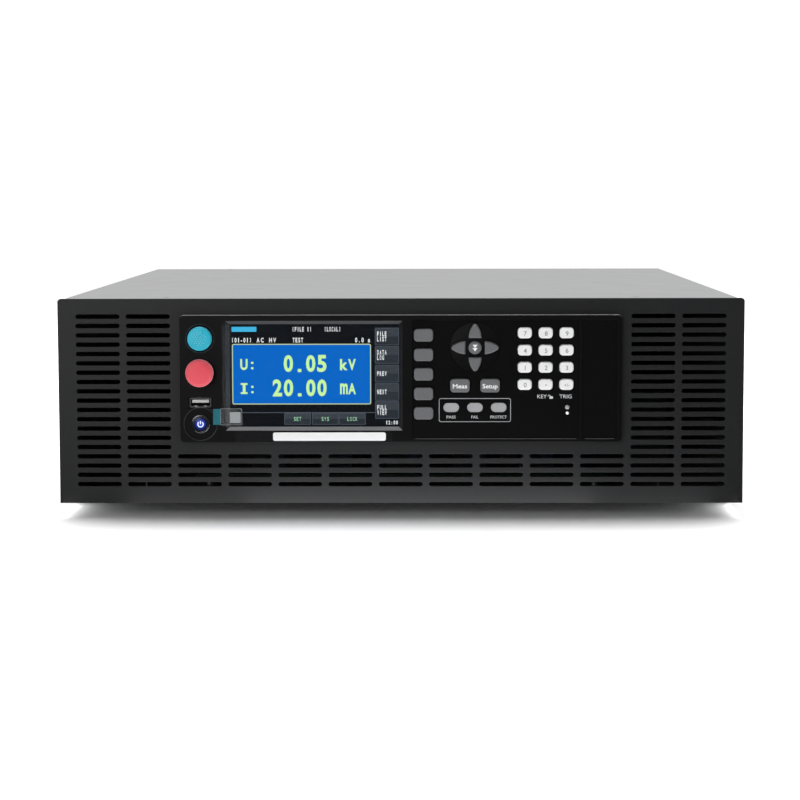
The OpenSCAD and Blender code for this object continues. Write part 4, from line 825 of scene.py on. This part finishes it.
def drawMarks():
    sheet = newDrawing()
    face = onPanel("panel_overlays")[1]
    layer = (face, face - marks["thin"])
    x, z, w, h, r = marks["frame"]
    line = marks["line"]
    addRing(sheet, roundBox(x, z, w, h, r), roundBox(x, z, w - 2 * line, h - 2 * line, r - line), *layer, 1)
    for words, shift, width in marks["lights"]:
        addWords(sheet, words, x + shift, marks["lightsZ"], marks["lightsH"], width, *layer)
    for words, x, z, h, w in marks["words"]:
        addWords(sheet, words, x, z, h, w, *layer)
    addSlab(sheet, roundBox(*marks["lockBody"]), *layer)
    addSlab(sheet, arcBand(*marks["shackle"]), *layer)
    finishDrawing("overlay_marks", sheet, "case", ["printGrey", "lineGrey"])

    plate = newDrawing()
    low, high = marks["plateThick"]
    addSlab(plate, roundBox(*marks["plate"]), onBezel, onBezel - low, 0)
    addSlab(plate, roundBox(*marks["strip"]), onBezel - low, onBezel - low - high, 1)
    finishDrawing("name_plate", plate, "case", ["plateDark", "plateWhite"])

    # clear end of the film's pull tape, with its cut edges
    tape = newDrawing()
    left, right, low, high = marks["tape"]
    face, thick, rim = onPanel("screen_film")[1], marks["tapeThick"], marks["tapeRim"]
    x, z, w, h = (left + right) / 2, (low + high) / 2, right - left, high - low
    outer, inner = marks["tapeRound"]
    clear = roundBox(x, z, w - 2 * rim, h - 2 * rim, inner)
    addSlab(tape, clear, face, face - thick, 0)
    addRing(tape, roundBox(x, z, w, h, outer), clear, face, face - thick, 1)
    finishDrawing("film_tape", tape, "case", ["tapeSheet", "tapeEdge"])


drawMarks()

# legends on the keys
legends = {
    "digits": {**{"num_key_" + digit: digit for digit in "7894561230"}, "num_key_dot": ".", "num_key_sign": "+/-"},
    "digitHeight": 2.7, "signHeight": 1.9, "dot": 0.42, "shift": (0.25, -0.35), "thin": 0.03, "digitBold": 0.01,
    "words": {"meas_key": ("Meas", 2.6, 9.0), "setup_key": ("Setup", 2.6, 9.5)}, "wordShift": -0.35,
    "wordBold": 0.02,
}


def drawLegends():
    across, up = legends["shift"]
    for body, words in {**legends["digits"], **legends["words"]}.items():
        x, face, z = onPanel(body)
        layer = (face, face - legends["thin"])
        ink, slot = "digitGrey", "white_keys"
        legend = newDrawing()
        if words == ".":
            addSlab(legend, roundDisc(x + across, z + up, legends["dot"]), *layer)
        elif body in legends["digits"]:
            height = legends["digitHeight"] if len(words) == 1 else legends["signHeight"]
            addWords(legend, words, x + across, z + up, height, None, *layer, 0, legends["digitBold"])
        else:
            ink, slot = "iconWhite", "grey_keys"
            words, height, width = words
            addWords(legend, words, x, z + legends["wordShift"], height, width, *layer, 0, legends["wordBold"])
        finishDrawing(body + "_legend", legend, body, [ink])


drawLegends()

# round centre key: two arrowheads, one below the other
arrows = {"wide": 3.2, "tall": 2.1, "drop": 0.2, "thick": 0.12, "proud": 0.03}


def drawArrows():
    x, face, z = onPanel("nav_enter")
    icon = newDrawing()
    half, tall = arrows["wide"] / 2, arrows["tall"]
    for top in (z + tall - arrows["drop"], z - arrows["drop"]):
        outline = [(x - half, top), (x + half, top), (x, top - tall)]
        addSlab(icon, outline, face + arrows["thick"], face - arrows["proud"])
    finishDrawing("nav_enter_icon", icon, "nav_enter", ["iconWhite"])


drawArrows()


# radius of a turned button at its face
def faceReach(node, depth=0.6):
    low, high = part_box(node)
    mid = (low + high) / 2
    return max(abs(v.co.x - mid.x) for v in nodes[node].data.vertices if v.co.y < low.y + depth * mm) / mm


# faces between rows of points, each row a closed loop of this many; past the last point they meet the first row
def loopFaces(rows, around, count):
    faces = []
    for start in range(0, rows * around, around):
        for step in range(around):
            a, b = start + step, start + (step + 1) % around
            faces.append((a, b, (b + around) % count, (a + around) % count))
    return faces


# START button: rows of small domes on its crowned face; rings are shares of a dome's radius and height
studs = {"pitch": 1.5, "reach": 4.4, "radius": 0.36, "height": 0.2, "crown": 0.5, "sides": 8,
         "rings": ((1.0, -0.05), (0.75, 0.6), (0.4, 0.92))}


def addDome(drawing, x, ground, z):
    sides, rings, points = studs["sides"], studs["rings"], []
    for share, lift in rings:
        r = studs["radius"] * share
        points += [(px, ground - lift * studs["height"], pz) for px, pz in roundDisc(x, z, r, sides)]
    points.append((x, ground - studs["height"], z))
    last = (len(rings) - 1) * sides
    faces = loopFaces(len(rings) - 1, sides, len(points))
    faces += [(last + step, last + (step + 1) % sides, last + sides) for step in range(sides)]
    faces.append(tuple(reversed(range(sides))))
    addFaces(drawing, points, faces, 0)


def drawStuds():
    x0, face, z0 = onPanel("start_button")
    domes = newDrawing()
    pitch, reach, crown = studs["pitch"], studs["reach"], studs["crown"]
    ball = (faceReach("start_button", crown) ** 2 + crown ** 2) / (2 * crown)
    rows = int(reach / pitch) + 1
    for row in range(-rows, rows + 1):
        for column in range(-rows, rows + 1):
            x, z = (column + 0.5 * (row % 2)) * pitch, row * pitch * math.sqrt(3) / 2
            away = math.hypot(x, z)
            if away <= reach:
                addDome(domes, x0 + x, face + ball - math.sqrt(ball ** 2 - away ** 2), z0 + z)
    made = finishDrawing("start_button_studs", domes, "start_button", ["studPlastic"])
    for side in made.data.polygons:
        side.use_smooth = True


drawStuds()

# power button: lit ring and bar
power = {"outer": 2.0, "inner": 1.35, "gap": 38, "drop": 0.1, "bar": (0.95, 0.65, 2.1, 0.2), "thick": 0.06,
         "proud": 0.02, "steps": 28, "colour": "#f4f8ff", "glow": 1.2}
coats["powerSymbol"] = makeGlow("powerSymbol", power["colour"], power["glow"])


def drawPower():
    x, face, z = onPanel("power_button")
    symbol = newDrawing()
    layer = (face + power["thick"], face - power["proud"])
    turn = (90 + power["gap"], 450 - power["gap"])
    addSlab(symbol, arcBand(x, z - power["drop"], power["outer"], power["inner"], *turn, power["steps"]), *layer)
    rise, *size = power["bar"]
    addSlab(symbol, roundBox(x, z + rise, *size), *layer)
    finishDrawing("power_button_symbol", symbol, "power_button", ["powerSymbol"])


drawPower()
print("legends drawn")

# USB springs: two bright bumps on the shell's lower wall
usbSprings = {"across": 2.9, "size": (1.9, 0.55), "front": 0.5, "long": 2.5, "foot": 0.45, "round": 0.25}


def drawSprings():
    x, face, z = onPanel("usb_socket")
    low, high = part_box("usb_socket")
    springs = newDrawing()
    w, h = usbSprings["size"]
    rise = z - (high.z - low.z) / mm / 2 + usbSprings["foot"] + h / 2
    front = face + usbSprings["front"]
    for side in (-1, 1):
        outline = roundBox(x + side * usbSprings["across"], rise, w, h, usbSprings["round"])
        addSlab(springs, outline, front + usbSprings["long"], front)
    finishDrawing("usb_socket_springs", springs, "case", ["springGrey"])


drawSprings()

# moulded beads round the START opening and the power dish, coloured lighter as a painted highlight, and light
# strips under the key fields as painted highlights on the fields' lower edges
beads = {"start_button": 1.8, "power_button": 5.9, "width": 0.5, "height": 0.22, "steps": 64, "arc": 5,
         "lip": (0.35, 0.12), "lipInset": 1.5}


def drawBeads():
    rings = newDrawing()
    steps, arc = beads["steps"], beads["arc"]
    for node in ("start_button", "power_button"):
        x, _, z = onPanel(node)
        radius = faceReach(node) + beads[node]
        points = []
        for step in range(steps):
            turn = 2 * math.pi * step / steps
            for part in range(arc):
                share = math.pi * part / (arc - 1)
                reach = radius + beads["width"] / 2 * math.cos(share)
                lift = beads["height"] * math.sin(share)
                across, up = onCircle(x, z, reach, turn)
                points.append((across, onBezel - lift, up))
        addFaces(rings, points, loopFaces(steps, arc, len(points)), 0)
    tall, proud = beads["lip"]
    for low, high in solidsOf("panel_overlays"):
        x, z = (low.x + high.x) / 2 / mm, (low.z - panelLow.z) / mm - tall
        w = (high.x - low.x) / mm - 2 * beads["lipInset"]
        addSlab(rings, roundBox(x, z, w, tall, tall / 3), onBezel, onBezel - proud, 1)
    finishDrawing("bezel_beads", rings, "case", ["beadHighlight", "lipGrey"])


drawBeads()

# painted shade for the cross recesses of the screws: thin dark crosses on the side the heads face
screwMarks = {"share": 0.62, "line": 0.26, "thin": 0.03}


def drawRecessShade(node):
    crosses = newDrawing()
    for low, high in solidsOf(node):
        size, mid = high - low, (low + high) / 2
        axis = max(range(3), key=lambda i: min(abs(size[i] - size[j]) for j in range(3) if j != i))
        flat = [i for i in range(3) if i != axis]
        outward = -1 if mid[axis] < (cadBox[0][axis] + cadBox[1][axis]) / 2 else 1
        face = high[axis] if outward > 0 else low[axis]
        half = size[flat[0]] / 2
        reach, line = half * screwMarks["share"], half * screwMarks["line"] / 2
        thin = screwMarks["thin"] * mm
        for wide, tall in ((line, reach), (reach, line)):
            points = []
            for lift in (thin, 0.0):
                for a, b in ((-1, -1), (1, -1), (1, 1), (-1, 1)):
                    place = Vector(mid)
                    place[axis] = face + outward * (lift - thin / 2)
                    place[flat[0]] += a * wide
                    place[flat[1]] += b * tall
                    points.append(toPanel(place))
            addFaces(crosses, points, prismFaces(4), 0)
    finishDrawing(node + "_recess_shade", crosses, "case", ["paintedShade"])


# signal sockets: insulator with two rows of contacts
pins = {"ear": 7.0, "brim": 2.0, "inset": 1.1, "proud": 0.25, "pitch": 2.76, "row": 2.84, "radius": 0.55,
        "slant": 6, "sunk": 0.05, "steps": 10}


def drawPins():
    sheet = newDrawing()
    for low, high in solidsOf("signal_sockets"):
        x, _, z = toPanel((low + high) / 2)
        face = toPanel(high)[1]
        w = (high.x - low.x) / mm - 2 * pins["ear"] - 2 * pins["inset"]
        h = (high.z - low.z) / mm - 2 * pins["brim"] - 2 * pins["inset"]
        slant, right, up = h / pins["slant"], w / 2, h / 2
        outline = [(x - right, z + up), (x + right, z + up), (x + right - slant, z - up),
            (x - right + slant, z - up)]
        addSlab(sheet, outline, face - pins["sunk"], face + pins["proud"] / 2, 0)
        for row, rise in enumerate((pins["row"] / 2, -pins["row"] / 2)):
            count = int((w - slant - row * pins["pitch"]) / pins["pitch"])
            for i in range(count):
                spot = x + (i - (count - 1) / 2) * pins["pitch"]
                contact = roundDisc(spot, z + rise, pins["radius"], pins["steps"])
                addSlab(sheet, contact, face, face + pins["proud"], 1)
    finishDrawing("signal_sockets_pins", sheet, "case", ["capBlue", "brass_post"])


# knurl round the thumb nut
knurl = {"teeth": 36, "proud": 0.3, "sunk": 0.05, "half": 0.4, "start": 0.32, "stop": 0.2}


def drawKnurl():
    low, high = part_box("ground_nut")
    x, front, z = onPanel("ground_nut")
    r, back = (high.x - low.x) / 2 / mm, toPanel(high)[1]
    ring = newDrawing()
    start = front + (back - front) * knurl["start"]
    reach = (r - knurl["sunk"], r + knurl["proud"], r - knurl["sunk"])
    for tooth in range(knurl["teeth"]):
        turns = [2 * math.pi * (tooth + share) / knurl["teeth"] for share in (-knurl["half"], 0.0, knurl["half"])]
        outline = [onCircle(x, z, away, turn) for turn, away in zip(turns, reach)]
        addSlab(ring, outline, start, back - knurl["stop"])
    finishDrawing("ground_nut_knurl", ring, "ground_nut", ["brass_post"])


# foam seals inside, in the corners between the rear panel's ends and the cover
seals = {"wide": 5.0, "thick": 3.0, "gap": 0.2, "inset": 3.0, "steps": 8}


def drawSeals():
    strips = newDrawing()
    (left, back, foot), (right, _, top) = (toPanel(corner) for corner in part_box("rear_panel"))
    ends = (foot + seals["inset"], top - seals["inset"])
    for side, edge in ((-1, left), (1, right)):
        profile = []
        for step in range(seals["steps"] + 1):
            turn = math.pi / 2 * step / seals["steps"]
            across = edge + side * (seals["gap"] - seals["wide"] * math.sin(turn))
            profile.append((across, back - seals["thick"] * math.cos(turn)))
        profile.append((edge + side * seals["gap"], back))
        points = [(x, y, z) for z in ends for x, y in profile]
        addFaces(strips, points, prismFaces(len(profile)), 0)
    finishDrawing("rear_seals", strips, "case", ["foot_rubber"])


# ground sign on the rear panel beside its post
groundSign = {"away": 13.0, "bars": (6.0, 4.0, 2.0), "step": 1.4, "line": 0.55, "stem": 3.0, "thin": 0.04,
              "round": 0.1}


def drawGround():
    face = toPanel(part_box("rear_panel")[1])[1]
    x, _, z = onPanel("ground_nut")
    z -= groundSign["away"]
    sign = newDrawing()
    layer = (face, face + groundSign["thin"])
    line, stem, r = groundSign["line"], groundSign["stem"], groundSign["round"]
    addSlab(sign, roundBox(x, z + stem / 2, line, stem, r), *layer)
    for row, width in enumerate(groundSign["bars"]):
        addSlab(sign, roundBox(x, z - row * groundSign["step"], width, line, r), *layer)
    finishDrawing("rear_ground_sign", sign, "case", ["printGrey"])


for node in ("case_screws", "pan_screws"):
    drawRecessShade(node)
drawPins()
drawKnurl()
drawSeals()
drawGround()
print("small pieces drawn")

# studio
studio = {
    "floor": 5.0, "floorColour": "#ffffff", "floorRough": 0.9, "floorGloss": 0.1,
    "sky": 1.0, "front": 0.06, "turn": (-0.02, 0.45), "above": 1.6,
    "lamps": {  # place, aim, width, depth, power
        "top_softbox": ((0.0, 0.72, 2.2), (0.0, 0.3, 0.0), 1.9, 1.9, 80.0),
        "key_softbox": ((-1.0, -2.45, 0.75), (0.0, -0.25, 0.08), 1.2, 1.2, 14.0),
        "low_card": ((0.012, -0.275, 0.004), (0.012, -0.275, 1.0), 0.37, 0.038, 0.052),
        "left_card": ((-0.214, -0.235, 0.004), (-0.15, -0.235, 0.0), 0.06, 0.006, 0.004),
        "right_card": ((0.214, -0.235, 0.004), (0.15, -0.235, 0.0), 0.06, 0.006, 0.004),
        "middle_card": ((0.012, -0.275, 0.005), (0.012, -0.275, 1.0), 0.22, 0.038, 0.03),
    },
}


def makeLamp(name, look):
    place, aim, width, depth, power = look
    lamp = bpy.data.lights.new(name, "AREA")
    lamp.shape, lamp.size, lamp.size_y, lamp.energy = "RECTANGLE", width, depth, power
    holder = addObject(name, lamp)
    holder.location = place
    holder.rotation_mode = "QUATERNION"
    holder.rotation_quaternion = (Vector(aim) - Vector(place)).to_track_quat("-Z", "Y")
    holder.visible_camera = False


def makeStudio():
    size = studio["floor"] / 2
    mesh = bpy.data.meshes.new("studio_floor")
    mesh.from_pydata([(-size, -size, 0), (size, -size, 0), (size, size, 0), (-size, size, 0)], [], [(0, 1, 2, 3)])
    floor = addObject("studio_floor", mesh)
    paper, tree, shader = newMaterial("studioPaper")
    fill(tree, shader, {
        "Base Color": tint(studio["floorColour"]), "Roughness": studio["floorRough"],
        "Specular IOR Level": studio["floorGloss"]})
    mesh.materials.append(paper)
    floor.visible_glossy = False  # dark glossy fronts stay dark over the white floor
    world = bpy.data.worlds.new("studio")
    world.use_nodes = True
    tree = world.node_tree
    way = splitAxes(tree, addNode(tree, "ShaderNodeTexCoord").outputs["Generated"])
    ramp = rampOf(tree, way["Y"], *studio["turn"], "SMOOTHSTEP", studio["front"], studio["sky"])
    height = mathStep(tree, "MULTIPLY_ADD", way["Z"], studio["above"], 1.0)
    glow = mathStep(tree, "MULTIPLY", ramp, height)
    seen = addNode(tree, "ShaderNodeLightPath").outputs["Is Camera Ray"]  # plain white behind the object
    fill(tree, tree.nodes["Background"], {
        "Color": (1, 1, 1, 1), "Strength": mathStep(tree, "MAXIMUM", glow, seen)})
    bpy.context.scene.world = world
    for name, look in studio["lamps"].items():
        makeLamp(name, look)
    bpy.context.scene.view_settings.view_transform = "Standard"


makeStudio()

# camera, in panel millimetres and degrees
lensSet = {"place": (17.7, -1406.7, 200.2), "lens": 101.3, "sensor": 36.0, "clip": 100.0,
           "yaw": -0.735, "pitch": 5.482, "roll": -0.122}


def makeCamera():
    yaw, pitch, roll = (math.radians(lensSet[key]) for key in ("yaw", "pitch", "roll"))
    forward = Vector((math.sin(yaw) * math.cos(pitch), math.cos(yaw) * math.cos(pitch), -math.sin(pitch)))
    right = Vector((math.cos(yaw), -math.sin(yaw), 0))
    up = right.cross(forward)
    right, up = right * math.cos(roll) + up * math.sin(roll), up * math.cos(roll) - right * math.sin(roll)
    lens = bpy.data.cameras.new("camera")
    lens.lens, lens.sensor_width, lens.clip_end = lensSet["lens"], lensSet["sensor"], lensSet["clip"]
    camera = addObject("camera", lens)
    x, y, z = lensSet["place"]
    camera.matrix_world = Matrix.Translation((x * mm, panelLow.y + y * mm, panelLow.z + z * mm)) @ Matrix(
        (right, up, -forward)).transposed().to_4x4()
    bpy.context.scene.camera = camera


makeCamera()
print("studio and camera set")
